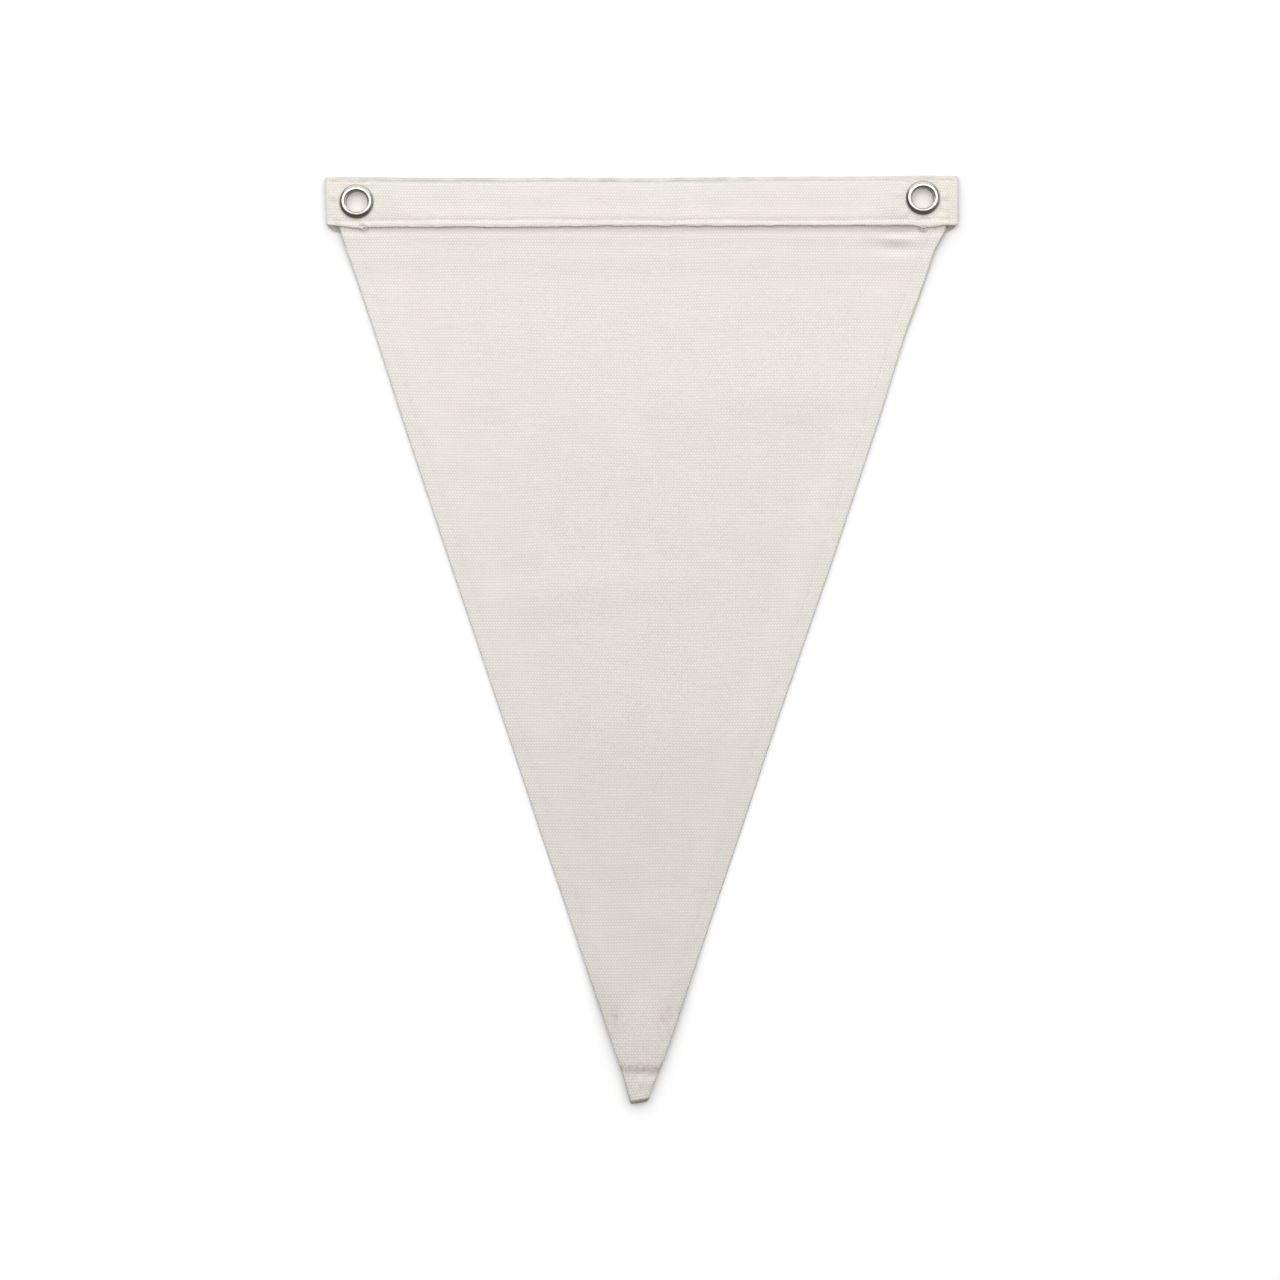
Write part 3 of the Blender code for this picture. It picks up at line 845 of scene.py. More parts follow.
# %% [markdown]
# ## The eyelets
# An eyelet is a stamped ring: a domed flange in front, a barrel through the cloth, and a rim rolled over
# behind. It is a turned shape, so its profile is spun round the axis. The profile's corners are cut twice
# first (Chaikin's rule), which rounds them as the press does. On the real flag the crest reads as a
# little oval, so it is then drawn in across the heading. The foot and the barrel stay round.

# %% The eyelet's profile, rounded and spun
BORE_RADIUS = 5.25 * MM
FLANGE_RADIUS = 8.4 * MM
ROLL_RADIUS = 7.05 * MM
EYELET_SEGMENTS = 96
OVAL = 0.09


def eyelet_profile():
    """Radius and height in millimetres, over the table."""
    base = (PRESSED_TOP + CLEARANCE) / MM
    rim = base + 1.5
    flange, roll, bore = FLANGE_RADIUS / MM, ROLL_RADIUS / MM, BORE_RADIUS / MM
    return [
        (flange, base),
        (flange, base + 0.40),
        (flange - 0.40, base + 0.82),
        (flange - 0.80, base + 1.17),
        (flange - 1.20, rim - 0.09),
        (flange - 1.60, rim),
        (flange - 2.00, rim - 0.04),
        (flange - 2.34, rim - 0.20),
        (flange - 2.47, rim - 0.50),
        (bore + 0.66, base + 0.30),
        (bore + 0.60, base + 0.02),
        (bore + 0.22, base - 0.10),
        (bore + 0.10, base - 0.40),
        (bore + 0.06, base - 1.00),
        (bore, 0.60),
        (bore + 0.10, 0.12),
        (bore + 0.50, 0.00),
        (roll - 0.35, 0.00),
        (roll, 0.12),
        (roll - 0.05, 0.45),
        (bore + 0.75, 0.50),
        (bore + 0.55, 0.80),
        (bore + 0.60, 2.00),
        (bore + 0.85, base),
    ]


def pressed_oval(x, y, height):
    """The crest of the flange drawn in across the heading. Its foot and its barrel stay round."""
    base = PRESSED_TOP + CLEARANCE
    inside = smooth((FLANGE_RADIUS - math.hypot(x, y)) / (1.5 * MM))
    return y * (1.0 - OVAL * inside * smooth((height - base - 0.2 * MM) / (0.6 * MM)))


def corners_cut(points):
    cut = []
    for one, two in zip(points, points[1:] + points[:1]):
        cut.append((mix(one[0], two[0], 0.25), mix(one[1], two[1], 0.25)))
        cut.append((mix(one[0], two[0], 0.75), mix(one[1], two[1], 0.75)))
    return cut


def eyelet(name, place):
    profile = corners_cut(corners_cut(eyelet_profile()))
    bm = bmesh.new()
    verts = [bm.verts.new((radius * MM, 0.0, height * MM)) for radius, height in profile]
    edges = [bm.edges.new((verts[k - 1], verts[k])) for k in range(len(verts))]
    bmesh.ops.spin(
        bm,
        geom=verts + edges,
        cent=(0.0, 0.0, 0.0),
        axis=(0.0, 0.0, 1.0),
        angle=2.0 * math.pi,
        steps=EYELET_SEGMENTS,
        use_merge=True,
    )
    bmesh.ops.remove_doubles(bm, verts=bm.verts, dist=0.001 * MM)
    bmesh.ops.recalc_face_normals(bm, faces=bm.faces)
    for vert in bm.verts:
        vert.co.y = pressed_oval(*vert.co)
    bmesh.ops.translate(bm, verts=bm.verts, vec=Vector((place[0], SEAM_LINE_Y + place[1], 0.0)))
    mesh = bpy.data.meshes.new(name)
    bm.to_mesh(mesh)
    bm.free()
    mesh.shade_smooth()
    return new_piece(name, mesh)


EYELET_NAMES = ("eyelet_ring_left", "eyelet_ring_right")
eyelet_pieces = [eyelet(name, place) for name, place in zip(EYELET_NAMES, EYELETS)]
print("each eyelet:", triangles(eyelet_pieces[0].data), "triangles")


# %% Painted shade inside the barrels and on the skirts
def eyelet_painted_shade(x, down, height):
    radius = eyelet_distance(x, -down)
    # Painted shade: the barrel's inside is dark, with a lighter ring at the ledge.
    inside = smooth((BORE_RADIUS + 0.80 * MM - radius) / (0.12 * MM))
    ledge = bell(height - PRESSED_TOP - CLEARANCE + 0.02 * MM, 0.14 * MM)
    outside = smooth((radius - 6.3 * MM) / (0.2 * MM))
    below_rim = PRESSED_TOP + CLEARANCE + 1.5 * MM - height
    # Painted reflection: the skirt under the rim is darker, with a thin dark line just under the rim.
    skirt = 0.60 * smooth((below_rim - 0.10 * MM) / (0.14 * MM))
    skirt += 0.25 * bell(below_rim - 0.22 * MM, 0.10 * MM)
    # The crest is painted a little darker, which dims its highlight.
    crest = 0.10 * (1.0 - inside) * (1.0 - outside)
    return inside * (0.92 - 0.75 * ledge) + outside * skirt + crest, 0.0, 0.0


for piece in eyelet_pieces:
    paint(piece, eyelet_painted_shade)

# %% [markdown]
# ## The sewing
# A row of lockstitch is a short thread, a needle hole, a short thread, and so on: one small shape
# repeated along a path. That is work for Geometry Nodes. The tree turns each path into a curve, steps
# along it by the pitch, and sets one slim rounded stitch at each step, turned along the row. Each stitch
# has only a few dozen faces, because there are well over a thousand.

# %% The node tree that sews a row
def sewing_tree():
    tree = bpy.data.node_groups.new("lockstitch_row", "GeometryNodeTree")
    face = tree.interface
    face.new_socket("Rows", in_out="INPUT", socket_type="NodeSocketGeometry")
    sizes = (("Pitch", 2.4), ("Stitch Length", 2.0), ("Thread Width", 0.5), ("Thread Height", 0.34))
    for name, value in sizes:
        socket = face.new_socket(name, in_out="INPUT", socket_type="NodeSocketFloat")
        socket.default_value = value * MM
    swing = face.new_socket("Swing", in_out="INPUT", socket_type="NodeSocketFloat")
    swing.default_value = 0.07
    face.new_socket("Seed", in_out="INPUT", socket_type="NodeSocketInt")
    face.new_socket("Thread", in_out="INPUT", socket_type="NodeSocketMaterial")
    face.new_socket("Stitches", in_out="OUTPUT", socket_type="NodeSocketGeometry")

    nodes, links = tree.nodes, tree.links
    inputs = nodes.new("NodeGroupInput").outputs
    to_curve = nodes.new("GeometryNodeMeshToCurve")
    steps = nodes.new("GeometryNodeResampleCurve")
    steps.mode = "LENGTH"
    bead = nodes.new("GeometryNodeMeshUVSphere")
    bead.inputs["Segments"].default_value = 8
    bead.inputs["Rings"].default_value = 5
    bead.inputs["Radius"].default_value = 0.5
    size = nodes.new("ShaderNodeCombineXYZ")
    stitch = nodes.new("GeometryNodeTransform")
    tangent = nodes.new("GeometryNodeInputTangent")
    along = nodes.new("FunctionNodeAlignRotationToVector")
    along.axis = "X"
    random = nodes.new("FunctionNodeRandomValue")
    random.data_type = "FLOAT"
    opposite = nodes.new("ShaderNodeMath")
    opposite.operation = "MULTIPLY"
    opposite.inputs[1].default_value = -1.0
    turn = nodes.new("ShaderNodeCombineXYZ")
    as_rotation = nodes.new("FunctionNodeEulerToRotation")
    turned = nodes.new("FunctionNodeRotateRotation")
    turned.rotation_space = "LOCAL"
    place = nodes.new("GeometryNodeInstanceOnPoints")
    real = nodes.new("GeometryNodeRealizeInstances")
    shade = nodes.new("GeometryNodeSetShadeSmooth")
    dress = nodes.new("GeometryNodeSetMaterial")
    result = nodes.new("NodeGroupOutput")

    links.new(inputs["Rows"], to_curve.inputs["Mesh"])
    links.new(to_curve.outputs["Curve"], steps.inputs["Curve"])
    links.new(inputs["Pitch"], steps.inputs["Length"])
    links.new(inputs["Stitch Length"], size.inputs["X"])
    links.new(inputs["Thread Width"], size.inputs["Y"])
    links.new(inputs["Thread Height"], size.inputs["Z"])
    links.new(bead.outputs["Mesh"], stitch.inputs["Geometry"])
    links.new(size.outputs["Vector"], stitch.inputs["Scale"])
    links.new(tangent.outputs["Tangent"], along.inputs["Vector"])
    links.new(inputs["Swing"], opposite.inputs[0])
    links.new(opposite.outputs["Value"], random.inputs["Min"])
    links.new(inputs["Swing"], random.inputs["Max"])
    links.new(inputs["Seed"], random.inputs["Seed"])
    links.new(random.outputs["Value"], turn.inputs["Z"])
    links.new(turn.outputs["Vector"], as_rotation.inputs["Euler"])
    links.new(along.outputs["Rotation"], turned.inputs["Rotation"])
    links.new(as_rotation.outputs["Rotation"], turned.inputs["Rotate By"])
    links.new(steps.outputs["Curve"], place.inputs["Points"])
    links.new(stitch.outputs["Geometry"], place.inputs["Instance"])
    links.new(turned.outputs["Rotation"], place.inputs["Rotation"])
    links.new(place.outputs["Instances"], real.inputs["Geometry"])
    links.new(real.outputs["Geometry"], shade.inputs["Geometry"])
    links.new(shade.outputs["Geometry"], dress.inputs["Geometry"])
    links.new(inputs["Thread"], dress.inputs["Material"])
    links.new(dress.outputs["Geometry"], result.inputs["Stitches"])
    return tree


lockstitch = sewing_tree()
print("sewing tree:", len(lockstitch.nodes), "nodes")

# %% [markdown]
# ## Where the rows run
# Each row follows the cloth's own height, so the thread lies in its groove. On the back it lies in a
# groove that is deeper than the thread is thick, because the flag has to lie flat on the table.

# %% Paths of the rows, front and back
STITCH_SINK = 0.05 * MM
BACK_THREAD_HEIGHT = 0.17 * MM
PATH_STEP = 1.2 * MM


def path(start, end):
    count = max(2, math.ceil(abs(end - start) / PATH_STEP))
    return [mix(start, end, k / count) for k in range(count + 1)]


def heading_top(x, up):
    height = front_height(x, up) + heading_relief(x, up) - STITCH_SINK
    return Vector((x + end_lean(x, up), SEAM_LINE_Y + up, height))


def heading_under(x, up):
    return Vector((x + end_lean(x, up), SEAM_LINE_Y + up, back_height(x, up) + BACK_THREAD_HEIGHT))


def face_height(x, down):
    left, right, _ = section_at(down)
    rise = panel_rise(x, left, right)
    across = -GROOVE * bell(down - TIP_ROW, GROOVE_HALF_WIDTH)
    relief = sewn_relief(x, down, left, right) + across
    return CANVAS + rise + creases_at(x, down, rise) + lie_height(x, down) + relief


def heading_rows(place):
    ends = -END_ROW, END_ROW
    rows = [[place(x, lower_row(x)) for x in path(*ends)], [place(x, upper_row(x)) for x in path(*ends)]]
    for x in ends:
        rows.append([place(x, up) for up in path(lower_row(x) + 2.0 * MM, upper_row(x) - 2.0 * MM)])
    return rows


def hem_rows(on_face):
    rows = []
    for side in (LEFT, RIGHT):
        row = []
        for down in path(0.9 * MM, TIP_ROW - 1.5 * MM):
            left, right, lift = section_at(down)
            inside = hem_row(left, right)
            x = left + inside if side == LEFT else right - inside
            if on_face:
                row.append(body_place(down)(x, face_height(x, down) - STITCH_SINK))
            else:
                row.append(Vector((x, body_place(down)(x, 0.0).y, lift + BACK_THREAD_HEIGHT)))
        rows.append(row)
    return rows


def tip_row(on_face):
    left, right, _ = section_at(TIP_ROW)
    middle, half = (left + right) / 2, (right - left) / 2
    reach = half - 1.1 * MM if on_face else 2.4 * MM
    row = []
    for x in path(middle - reach, middle + reach):
        place = body_place(TIP_ROW)(x, face_height(x, TIP_ROW) - STITCH_SINK)
        row.append(place if on_face else Vector((place.x, place.y, BACK_THREAD_HEIGHT)))
    return [row]


# %% [markdown]
# ## Canvas, thread and metal
# Number duck, the canvas of such flags, is a plain weave: each warp yarn passes over one weft yarn and
# under the next. Here there are about 34 warp yarns and 18 weft yarns to the inch. The weave is worked
# out from the cloth's own UV map in metres, in one node group that every canvas material shares. It puts
# out the height of the yarns, how light each place is, with shade painted into the gaps between the yarns,
# and where a yarn is a shade warmer.

# %% A helper for wiring, and the weave group
def calc(tree, operation, *values):
    """A Math node's output. Each value is a number or another node's output."""
    node = tree.nodes.new("ShaderNodeMath")
    node.operation = operation
    for socket, value in zip(node.inputs, values):
        if isinstance(value, bpy.types.NodeSocket):
            tree.links.new(value, socket)
        else:
            socket.default_value = value
    return node.outputs["Value"]


def vector_of(tree, x, y, z=0.0):
    node = tree.nodes.new("ShaderNodeCombineXYZ")
    for socket, value in zip(node.inputs, (x, y, z)):
        if isinstance(value, bpy.types.NodeSocket):
            tree.links.new(value, socket)
        else:
            socket.default_value = value
    return node.outputs["Vector"]


def speckle(tree, vector, scale, detail=2.0, roughness=0.5):
    """A Noise Texture's value, roughly 0.25 to 0.75, at a number of bumps per unit."""
    node = tree.nodes.new("ShaderNodeTexNoise")
    node.inputs["Scale"].default_value = scale
    node.inputs["Detail"].default_value = detail
    node.inputs["Roughness"].default_value = roughness
    tree.links.new(vector, node.inputs["Vector"])
    return node.outputs["Fac"]


def ramped(tree, value, low, high):
    """0 below low and 1 above high, with a soft step between."""
    node = tree.nodes.new("ShaderNodeMapRange")
    node.interpolation_type = "SMOOTHSTEP"
    node.inputs["From Min"].default_value = low
    node.inputs["From Max"].default_value = high
    tree.links.new(value, node.inputs["Value"])
    return node.outputs["Result"]


def weave_group():
    tree = bpy.data.node_groups.new("plain_weave", "ShaderNodeTree")
    face = tree.interface
    face.new_socket("Cloth", in_out="INPUT", socket_type="NodeSocketVector")
    for name, value in (("Warp Pitch", 0.745 * MM), ("Weft Pitch", 1.39 * MM), ("Wander", 0.5 * MM)):
        face.new_socket(name, in_out="INPUT", socket_type="NodeSocketFloat").default_value = value
    coarse_input = face.new_socket("Coarseness", in_out="INPUT", socket_type="NodeSocketFloat")
    coarse_input.default_value = 0.0
    for name in ("Height", "Tone", "Warmth"):
        face.new_socket(name, in_out="OUTPUT", socket_type="NodeSocketFloat")
    inputs = tree.nodes.new("NodeGroupInput").outputs
    result = tree.nodes.new("NodeGroupOutput").inputs
    cloth = inputs["Cloth"]
    split = tree.nodes.new("ShaderNodeSeparateXYZ")
    tree.links.new(cloth, split.inputs["Vector"])
    u, v = split.outputs["X"], split.outputs["Y"]

    # The yarns wander a little out of line.
    drift_u = calc(tree, "SUBTRACT", speckle(tree, cloth, 31.0), 0.5)
    drift_u = calc(tree, "MULTIPLY", drift_u, inputs["Wander"])
    offset = tree.nodes.new("ShaderNodeVectorMath")
    offset.inputs[1].default_value = (3.1, 1.7, 0.4)
    tree.links.new(cloth, offset.inputs[0])
    drift_v = calc(tree, "SUBTRACT", speckle(tree, offset.outputs[0], 23.0), 0.5)
    drift_v = calc(tree, "MULTIPLY", drift_v, inputs["Wander"])
    slow = calc(tree, "SUBTRACT", speckle(tree, cloth, 9.0, 1.0), 0.5)
    drift_v = calc(tree, "MULTIPLY_ADD", slow, calc(tree, "MULTIPLY", inputs["Wander"], 14.0), drift_v)
    warp = calc(tree, "DIVIDE", calc(tree, "ADD", u, drift_u), inputs["Warp Pitch"])
    weft = calc(tree, "DIVIDE", calc(tree, "ADD", v, drift_v), inputs["Weft Pitch"])
    warp_count, weft_count = calc(tree, "FLOOR", warp), calc(tree, "FLOOR", weft)
    under = calc(tree, "FLOORED_MODULO", calc(tree, "ADD", warp_count, weft_count), 2.0)
    over = calc(tree, "SUBTRACT", 1.0, under)
    warp_round = calc(tree, "SINE", calc(tree, "MULTIPLY", calc(tree, "FRACT", warp), math.pi))
    weft_round = calc(tree, "SINE", calc(tree, "MULTIPLY", calc(tree, "FRACT", weft), math.pi))

    # A yarn that passes over bulges up; one that passes under sinks.
    warp_lift = calc(tree, "MULTIPLY_ADD", calc(tree, "MULTIPLY", over, weft_round), 0.90, 0.10)
    weft_lift = calc(tree, "MULTIPLY_ADD", calc(tree, "MULTIPLY", under, warp_round), 0.28, 0.10)
    warp_height = calc(tree, "MULTIPLY", warp_round, warp_lift)
    weft_height = calc(tree, "MULTIPLY", weft_round, weft_lift)
    height = calc(tree, "MAXIMUM", warp_height, weft_height)
    fuzz = speckle(tree, cloth, 2600.0, 3.0, 0.7)
    tree.links.new(calc(tree, "MULTIPLY_ADD", fuzz, 0.25, height), result["Height"])

    # Each yarn has its own shade, which changes slowly along it.
    weft_shade = speckle(tree, vector_of(tree, calc(tree, "MULTIPLY", u, 45.0), weft_count, 2.0), 1.0, 1.0)
    warp_shade = speckle(tree, vector_of(tree, warp_count, calc(tree, "MULTIPLY", v, 45.0), 5.0), 1.0, 1.0)
    shade = calc(tree, "MULTIPLY_ADD", calc(tree, "SUBTRACT", warp_shade, 0.5), 0.25, weft_shade)
    shade = calc(tree, "SUBTRACT", shade, 0.5)
    cloudy = calc(tree, "SUBTRACT", speckle(tree, cloth, 60.0, 4.0), 0.5)
    clarity = calc(tree, "MULTIPLY_ADD", speckle(tree, cloth, 75.0, 1.0), 1.6, 0.40)
    clarity = calc(tree, "MULTIPLY_ADD", inputs["Coarseness"], 0.7, clarity)
    # The gaps between the yarns are painted darker and the yarns' tops lighter, as painted shade in the
    # weave.
    relief = calc(tree, "MULTIPLY", calc(tree, "SUBTRACT", height, 0.235), clarity)
    tone = calc(tree, "ADD", relief, 0.52)
    tone = calc(tree, "MULTIPLY_ADD", shade, 0.26, tone)
    tone = calc(tree, "MULTIPLY_ADD", cloudy, 0.18, tone)
    lumps = calc(tree, "SUBTRACT", speckle(tree, cloth, 650.0, 2.0), 0.5)
    tone = calc(tree, "MULTIPLY_ADD", calc(tree, "MULTIPLY", lumps, inputs["Coarseness"]), 0.9, tone)
    tree.links.new(calc(tree, "MULTIPLY_ADD", fuzz, 0.12, tone), result["Tone"])

    # Now and then a stretch of weft yarn is a shade warmer.
    slubs = speckle(tree, vector_of(tree, calc(tree, "MULTIPLY", u, 70.0), weft_count, 9.0), 1.0, 1.0)
    tree.links.new(ramped(tree, slubs, 0.66, 0.78), result["Warmth"])
    return tree


plain_weave = weave_group()
print("weave group:", len(plain_weave.nodes), "nodes")

# %% [markdown]
# Canvas is matt, with a faint sheen of loose fibre at grazing angles. Its colour runs from a greyer tone
# in the gaps between the yarns, which is painted shade, to a warm off-white on top of them. The painted
# shade from the attribute takes it further, towards a dark brown-grey. The bump height is in metres, so
# that the weave has the same depth on each piece.

# %% The canvas material
def rgb_mix(tree, share, one, two):
    """A colour between one and two. Share is a node's output; each colour is three numbers or an output."""
    node = tree.nodes.new("ShaderNodeMix")
    node.data_type = "RGBA"
    tree.links.new(share, node.inputs[0])
    for socket, value in ((node.inputs[6], one), (node.inputs[7], two)):
        if isinstance(value, bpy.types.NodeSocket):
            tree.links.new(value, socket)
        else:
            socket.default_value = (*value, 1.0)
    return node.outputs[2]


def new_material(name):
    material = bpy.data.materials.new(name)
    material.use_nodes = True
    return material, material.node_tree, material.node_tree.nodes["Principled BSDF"]


def bumped(tree, height, distance, shader):
    bump = tree.nodes.new("ShaderNodeBump")
    bump.inputs["Strength"].default_value = 1.0
    bump.inputs["Distance"].default_value = distance
    tree.links.new(height, bump.inputs["Height"])
    tree.links.new(bump.outputs["Normal"], shader.inputs["Normal"])


SHADED_CLOTH = (0.30, 0.255, 0.20)


def canvas_material(name, gap, yarn, warm):
    material, tree, shader = new_material(name)
    uv_map = tree.nodes.new("ShaderNodeUVMap")
    uv_map.uv_map = "cloth"
    weave = tree.nodes.new("ShaderNodeGroup")
    weave.node_tree = plain_weave
    tree.links.new(uv_map.outputs["UV"], weave.inputs["Cloth"])
    attribute = tree.nodes.new("ShaderNodeAttribute")
    attribute.attribute_name = "painted_shade_stain_coarseness"
    painted_shade_stain_coarseness = tree.nodes.new("ShaderNodeSeparateXYZ")
    tree.links.new(attribute.outputs["Vector"], painted_shade_stain_coarseness.inputs["Vector"])
    tree.links.new(painted_shade_stain_coarseness.outputs["Z"], weave.inputs["Coarseness"])
    cloth_color = rgb_mix(tree, weave.outputs["Tone"], gap, yarn)
    stain_and_shade_tint = calc(tree, "MULTIPLY", painted_shade_stain_coarseness.outputs["Y"], 0.6)
    warmth = calc(tree, "MULTIPLY_ADD", weave.outputs["Warmth"], 0.35, stain_and_shade_tint)
    warmed = rgb_mix(tree, warmth, cloth_color, warm)
    # Painted shade from the attribute darkens the colour towards a dark brown-grey.
    shaded = rgb_mix(tree, painted_shade_stain_coarseness.outputs["X"], warmed, SHADED_CLOTH)
    tree.links.new(shaded, shader.inputs["Base Color"])
    bumped(tree, weave.outputs["Height"], 0.12 * MM, shader)
    shader.inputs["Roughness"].default_value = 0.95
    shader.inputs["Specular IOR Level"].default_value = 0.15
    shader.inputs["Sheen Weight"].default_value = 0.10
    shader.inputs["Sheen Roughness"].default_value = 0.6
    return material


GAP = (0.60, 0.57, 0.525)
body_canvas = canvas_material("undyed_canvas", GAP, (0.90, 0.86, 0.80), (0.86, 0.77, 0.68))
heading_canvas = canvas_material("heading_canvas", GAP, (0.88, 0.84, 0.78), (0.86, 0.76, 0.68))

# %% [markdown]
# The thread is spun cotton or polyester in the cloth's own colour, a touch lighter and smoother than the
# canvas. The eyelets are brass with bright nickel plate. Nickel is a warm grey metal; fine rubbing marks
# break up its reflections. Inside the barrels and on the skirts its colour is darkened as painted shade.

# %% Thread and nickel
def thread_material():
    material, tree, shader = new_material("sewing_thread")
    place = tree.nodes.new("ShaderNodeTexCoord").outputs["Object"]
    fibres = speckle(tree, place, 3500.0, 2.0)
    tree.links.new(rgb_mix(tree, fibres, (0.66, 0.63, 0.58), (0.84, 0.81, 0.75)), shader.inputs["Base Color"])
    bumped(tree, fibres, 0.05 * MM, shader)
    shader.inputs["Roughness"].default_value = 0.75
    return material


# The colour of the painted shade inside the barrels and on the skirts.
NICKEL_IN_PAINTED_SHADE = (0.10, 0.088, 0.075)


def nickel_material():
    material, tree, shader = new_material("bright_nickel")
    attribute = tree.nodes.new("ShaderNodeAttribute")
    attribute.attribute_name = "painted_shade_stain_coarseness"
    painted_shade_stain_coarseness = tree.nodes.new("ShaderNodeSeparateXYZ")
    tree.links.new(attribute.outputs["Vector"], painted_shade_stain_coarseness.inputs["Vector"])
    place = tree.nodes.new("ShaderNodeTexCoord").outputs["Object"]
    film = speckle(tree, place, 420.0, 4.0)
    rubbed = speckle(tree, place, 5200.0, 2.0)
    plate = rgb_mix(tree, film, (0.59, 0.565, 0.525), (0.67, 0.645, 0.60))
    # Painted shade from the attribute darkens the plate.
    tree.links.new(rgb_mix(tree, painted_shade_stain_coarseness.outputs["X"], plate, NICKEL_IN_PAINTED_SHADE), shader.inputs["Base Color"])
    tree.links.new(calc(tree, "MULTIPLY_ADD", film, 0.14, 0.12), shader.inputs["Roughness"])
    bumped(tree, rubbed, 0.0006 * MM, shader)
    shader.inputs["Metallic"].default_value = 1.0
    return material


thread = thread_material()
nickel = nickel_material()
body.data.materials.append(body_canvas)
heading.data.materials.clear()
heading.data.materials.append(heading_canvas)
for piece in eyelet_pieces:
    piece.data.materials.append(nickel)

# %% [markdown]
# ## Sew the rows
# The paths become the edges of a plain mesh, the tree sews along them, and the evaluated result is kept
# as an ordinary mesh. The modifier goes away with the object that carried it.

# %% Run the sewing tree along the rows
def sewn(name, rows, seed, **sizes):
    points, edges = [], []
    for row in rows:
        edges += [(len(points) + k, len(points) + k + 1) for k in range(len(row) - 1)]
        points += row
    mesh = bpy.data.meshes.new(name + "_paths")
    mesh.from_pydata(points, edges, [])
    carrier = new_piece(name + "_paths", mesh)
    modifier = carrier.modifiers.new("lockstitch_row", "NODES")
    modifier.node_group = lockstitch
    values = {"Seed": seed, "Thread": thread, **sizes}
    for socket in lockstitch.interface.items_tree:
        if socket.in_out == "INPUT" and socket.name in values:
            modifier[socket.identifier] = values[socket.name]
    piece = finished(carrier, name)
    print(name, triangles(piece.data), "triangles")
    return piece


stitches = [
    sewn("heading_sewing_front", heading_rows(heading_top), 1),
    sewn("heading_sewing_back", heading_rows(heading_under), 2),
    sewn("hem_sewing_front", hem_rows(True) + tip_row(True), 3),
    sewn("hem_sewing_back", hem_rows(False) + tip_row(False), 4),
]

# %% [markdown]
# Where the lower row begins and ends, the thread was fastened with a few stitches on one spot and cut.
# Two small tangled loops are left at the heading's lower edge. Each is a round thread swept along a
# closed, twisted path.

# %% Two thread ends
LOOP_STEPS = 36
LOOP_SIDES = 8
LOOP_THREAD = 0.20 * MM


def loop_point(t, turn):
    x = 1.35 * math.cos(t) + 0.40 * math.cos(3 * t + turn)
    y = 0.62 * math.sin(t) + 0.40 * math.sin(2 * t + turn)
    return Vector((x, y, 0.30 * math.sin(3 * t) + 0.12 * x)) * MM


def thread_loop(name, x, up, turn):
    middle = Vector((x, SEAM_LINE_Y + up, front_height(x, 1.5 * MM) + 0.35 * MM))
    points, faces = [], []
    for k in range(LOOP_STEPS):
        t = 2 * math.pi * k / LOOP_STEPS
        along = (loop_point(t + 0.01, turn) - loop_point(t - 0.01, turn)).normalized()
        side = along.cross(Vector((0.0, 0.0, 1.0))).normalized()
        above = side.cross(along)
        for n in range(LOOP_SIDES):
            angle = 2 * math.pi * n / LOOP_SIDES
            offset = (side * math.cos(angle) + above * math.sin(angle)) * LOOP_THREAD
            points.append(middle + loop_point(t, turn) + offset)
            after, further = (n + 1) % LOOP_SIDES, (k + 1) % LOOP_STEPS
            faces.append(
                (
                    k * LOOP_SIDES + n,
                    k * LOOP_SIDES + after,
                    further * LOOP_SIDES + after,
                    further * LOOP_SIDES + n,
                )
            )
    mesh = bpy.data.meshes.new(name)
    mesh.from_pydata(points, [], faces)
    bm = bmesh.new()
    bm.from_mesh(mesh)
    bmesh.ops.recalc_face_normals(bm, faces=bm.faces)
    bm.to_mesh(mesh)
    bm.free()
    mesh.shade_smooth()
    mesh.materials.append(thread)
    return new_piece(name, mesh)


stitches += [
    thread_loop("thread_end_left", *KNOTS[0], 0.4),
    thread_loop("thread_end_right", *KNOTS[1], 1.9),
]

# %% [markdown]
# ## Hand the pieces to the frame
# Each new piece takes the place of the imported solid that it stands for, and rides on the same body.

# %% Stand-ins and bodies
for piece, node, slot in (
    (body, "flag_body", "body_canvas"),
    (heading, "heading_band", "heading_canvas"),
    (eyelet_pieces[0], "eyelet_left", "eyelet_nickel"),
    (eyelet_pieces[1], "eyelet_right", "eyelet_nickel"),
):
    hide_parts(node)
    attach(piece, "root")
for piece in stitches:
    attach(piece, "root")

# %% [markdown]
# ## The table, the light and the camera
# The flag lies on a bright white table under soft studio light from beyond its top edge. The table is lit
# a little from below, as for a pure white background, more so towards the near side. A soft shadow a
# centimetre or two wide is painted on the table along the flag's edges: an Ambient Occlusion node measures
# how close the flag is, and the table's colour darkens and its glow dims there. The painted shadow is
# strong beside the heading and the point, and weak along the sides. Through the eyelets the table is
# painted warmer and brighter, as in light that the cloth throws back. The camera looks straight down.

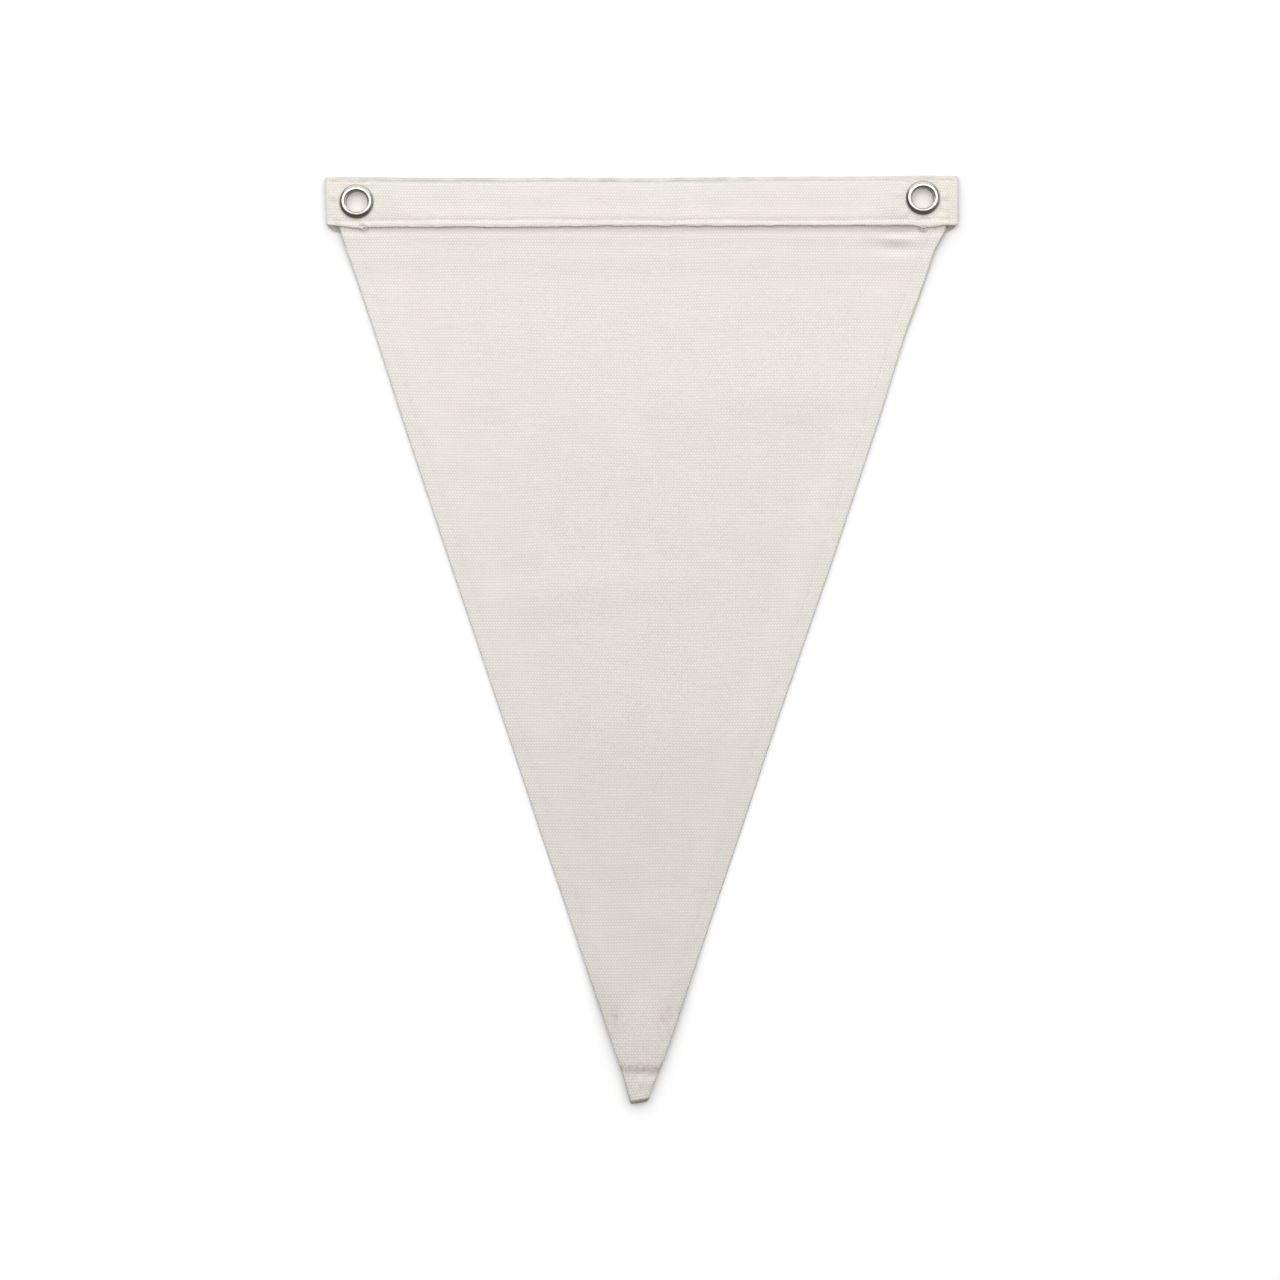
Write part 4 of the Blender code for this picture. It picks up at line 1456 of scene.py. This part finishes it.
# %% A white table
FLOOR_REACH = 3.0
CONTACT_REACH = 28 * MM
corners = [(x * FLOOR_REACH, y * FLOOR_REACH, 0.0) for x, y in ((-1, -1), (1, -1), (1, 1), (-1, 1))]
floor_mesh = bpy.data.meshes.new("table")
floor_mesh.from_pydata(corners, [], [(0, 1, 2, 3)])
floor = new_piece("table", floor_mesh)
white, white_tree, white_shader = new_material("white_table")
white_shader.inputs["Roughness"].default_value = 0.9
white_shader.inputs["Emission Color"].default_value = (1.0, 1.0, 1.0, 1.0)
closeness = white_tree.nodes.new("ShaderNodeAmbientOcclusion")
closeness.inputs["Distance"].default_value = CONTACT_REACH
closeness.samples = 4
table_place = white_tree.nodes.new("ShaderNodeTexCoord").outputs["Object"]
table_split = white_tree.nodes.new("ShaderNodeSeparateXYZ")
white_tree.links.new(table_place, table_split.inputs["Vector"])
table_x, table_y = table_split.outputs["X"], table_split.outputs["Y"]


def on_table(operation, *values):
    return calc(white_tree, operation, *values)


def table_ramp(value, low, high):
    return ramped(white_tree, value, low, high)


# The painted contact shadow is strong beside the heading and the point, and weak along the flat sides between
# them.
slanted = on_table("MULTIPLY_ADD", table_x, 0.13, table_y)
by_heading = on_table("MULTIPLY", table_ramp(slanted, 0.145, 0.185), table_ramp(table_y, 0.235, 0.226))
by_point = table_ramp(table_y, -0.11, -0.19)
stronger_right = on_table("MULTIPLY_ADD", table_ramp(table_x, -0.1, 0.1), 0.3, 0.8)
by_heading = on_table("MULTIPLY", by_heading, stronger_right)
strength = on_table("MULTIPLY_ADD", on_table("MAXIMUM", by_heading, by_point), 0.53, 0.04)

# Under the heading the table shows only through the two eyelets; there it is painted warmer and brighter, as
# in the cloth's thrown-back light.
between_ends = table_ramp(on_table("ABSOLUTE", table_x), 0.153, 0.149)
in_eyelet = on_table("MULTIPLY", between_ends, table_ramp(table_y, 0.207, 0.209))
in_eyelet = on_table("MULTIPLY", in_eyelet, table_ramp(table_y, 0.229, 0.227))
strength = on_table("MULTIPLY", strength, on_table("MULTIPLY_ADD", in_eyelet, -0.85, 1.0))
# Painted shadow: where the flag stands close, the table's colour goes dark and its glow dims.
closed = on_table("POWER", on_table("SUBTRACT", 1.0, closeness.outputs["AO"]), 1.15)
painted_contact_shadow = on_table("MINIMUM", on_table("MULTIPLY", closed, strength), 1.0)
# Painted light: a warmer table colour inside the eyelets.
open_table = rgb_mix(white_tree, in_eyelet, (0.90, 0.90, 0.90), (0.93, 0.89, 0.83))
table_color = rgb_mix(white_tree, painted_contact_shadow, open_table, (0.10, 0.09, 0.075))
white_tree.links.new(table_color, white_shader.inputs["Base Color"])
glow = on_table("MULTIPLY_ADD", table_ramp(table_y, 0.35, -0.35), 0.24, 0.022)
# Painted light: more glow inside the eyelets.
glow = on_table("MULTIPLY_ADD", in_eyelet, 0.12, glow)
glow = on_table("MULTIPLY", glow, on_table("SUBTRACT", 1.0, painted_contact_shadow))
white_tree.links.new(glow, white_shader.inputs["Emission Strength"])
floor_mesh.materials.append(white)


# %% Soft light
def soft_light(name, place, size, power):
    light = bpy.data.lights.new(name, "AREA")
    light.shape = "RECTANGLE"
    light.size, light.size_y = size
    light.energy = power
    lamp = bpy.data.objects.new(name, light)
    bpy.context.scene.collection.objects.link(lamp)
    lamp.location = place
    lamp.rotation_euler = (-Vector(place)).to_track_quat("-Z", "Y").to_euler()
    return lamp


soft_light("key_window", (-0.05, 0.98, 0.85), (2.4, 1.5), 19.2)
soft_light("overhead_strip", (0.0, 0.25, 2.0), (3.6, 1.25), 18.0)


def studio_world():
    """Pale to the camera, even for the soft light, and dark towards the near side in reflections."""
    studio = bpy.data.worlds.new("studio")
    studio.use_nodes = True
    tree = studio.node_tree
    direction = tree.nodes.new("ShaderNodeTexCoord").outputs["Generated"]
    toward = tree.nodes.new("ShaderNodeVectorMath")
    toward.operation = "DOT_PRODUCT"
    toward.inputs[1].default_value = (0.45, 0.85, 0.20)
    tree.links.new(direction, toward.inputs[0])
    room = calc(tree, "MULTIPLY_ADD", ramped(tree, toward.outputs["Value"], -0.3, 0.7), 0.66, 0.24)
    ray = tree.nodes.new("ShaderNodeLightPath").outputs
    even = 0.26
    seen = calc(tree, "MULTIPLY_ADD", calc(tree, "SUBTRACT", room, even), ray["Is Glossy Ray"], even)
    seen = calc(tree, "MULTIPLY_ADD", calc(tree, "SUBTRACT", 0.95, seen), ray["Is Camera Ray"], seen)
    tree.links.new(seen, tree.nodes["Background"].inputs["Strength"])
    tree.nodes["Background"].inputs["Color"].default_value = (1.0, 1.0, 1.0, 1.0)
    return studio


bpy.context.scene.world = studio_world()

# %% The camera over the flag
CAMERA_HEIGHT = 1.40
FRAME_WIDTH = 0.631
FRAME_LEVEL = 3.2 * MM
camera_data = bpy.data.cameras.new("camera")
camera_data.sensor_width = 36.0
camera_data.lens = camera_data.sensor_width * (CAMERA_HEIGHT - FRAME_LEVEL) / FRAME_WIDTH
camera = bpy.data.objects.new("camera", camera_data)
bpy.context.scene.collection.objects.link(camera)
camera.location = (-0.001, 0.00025, CAMERA_HEIGHT)
bpy.context.scene.camera = camera
bpy.context.scene.view_settings.view_transform = "Standard"
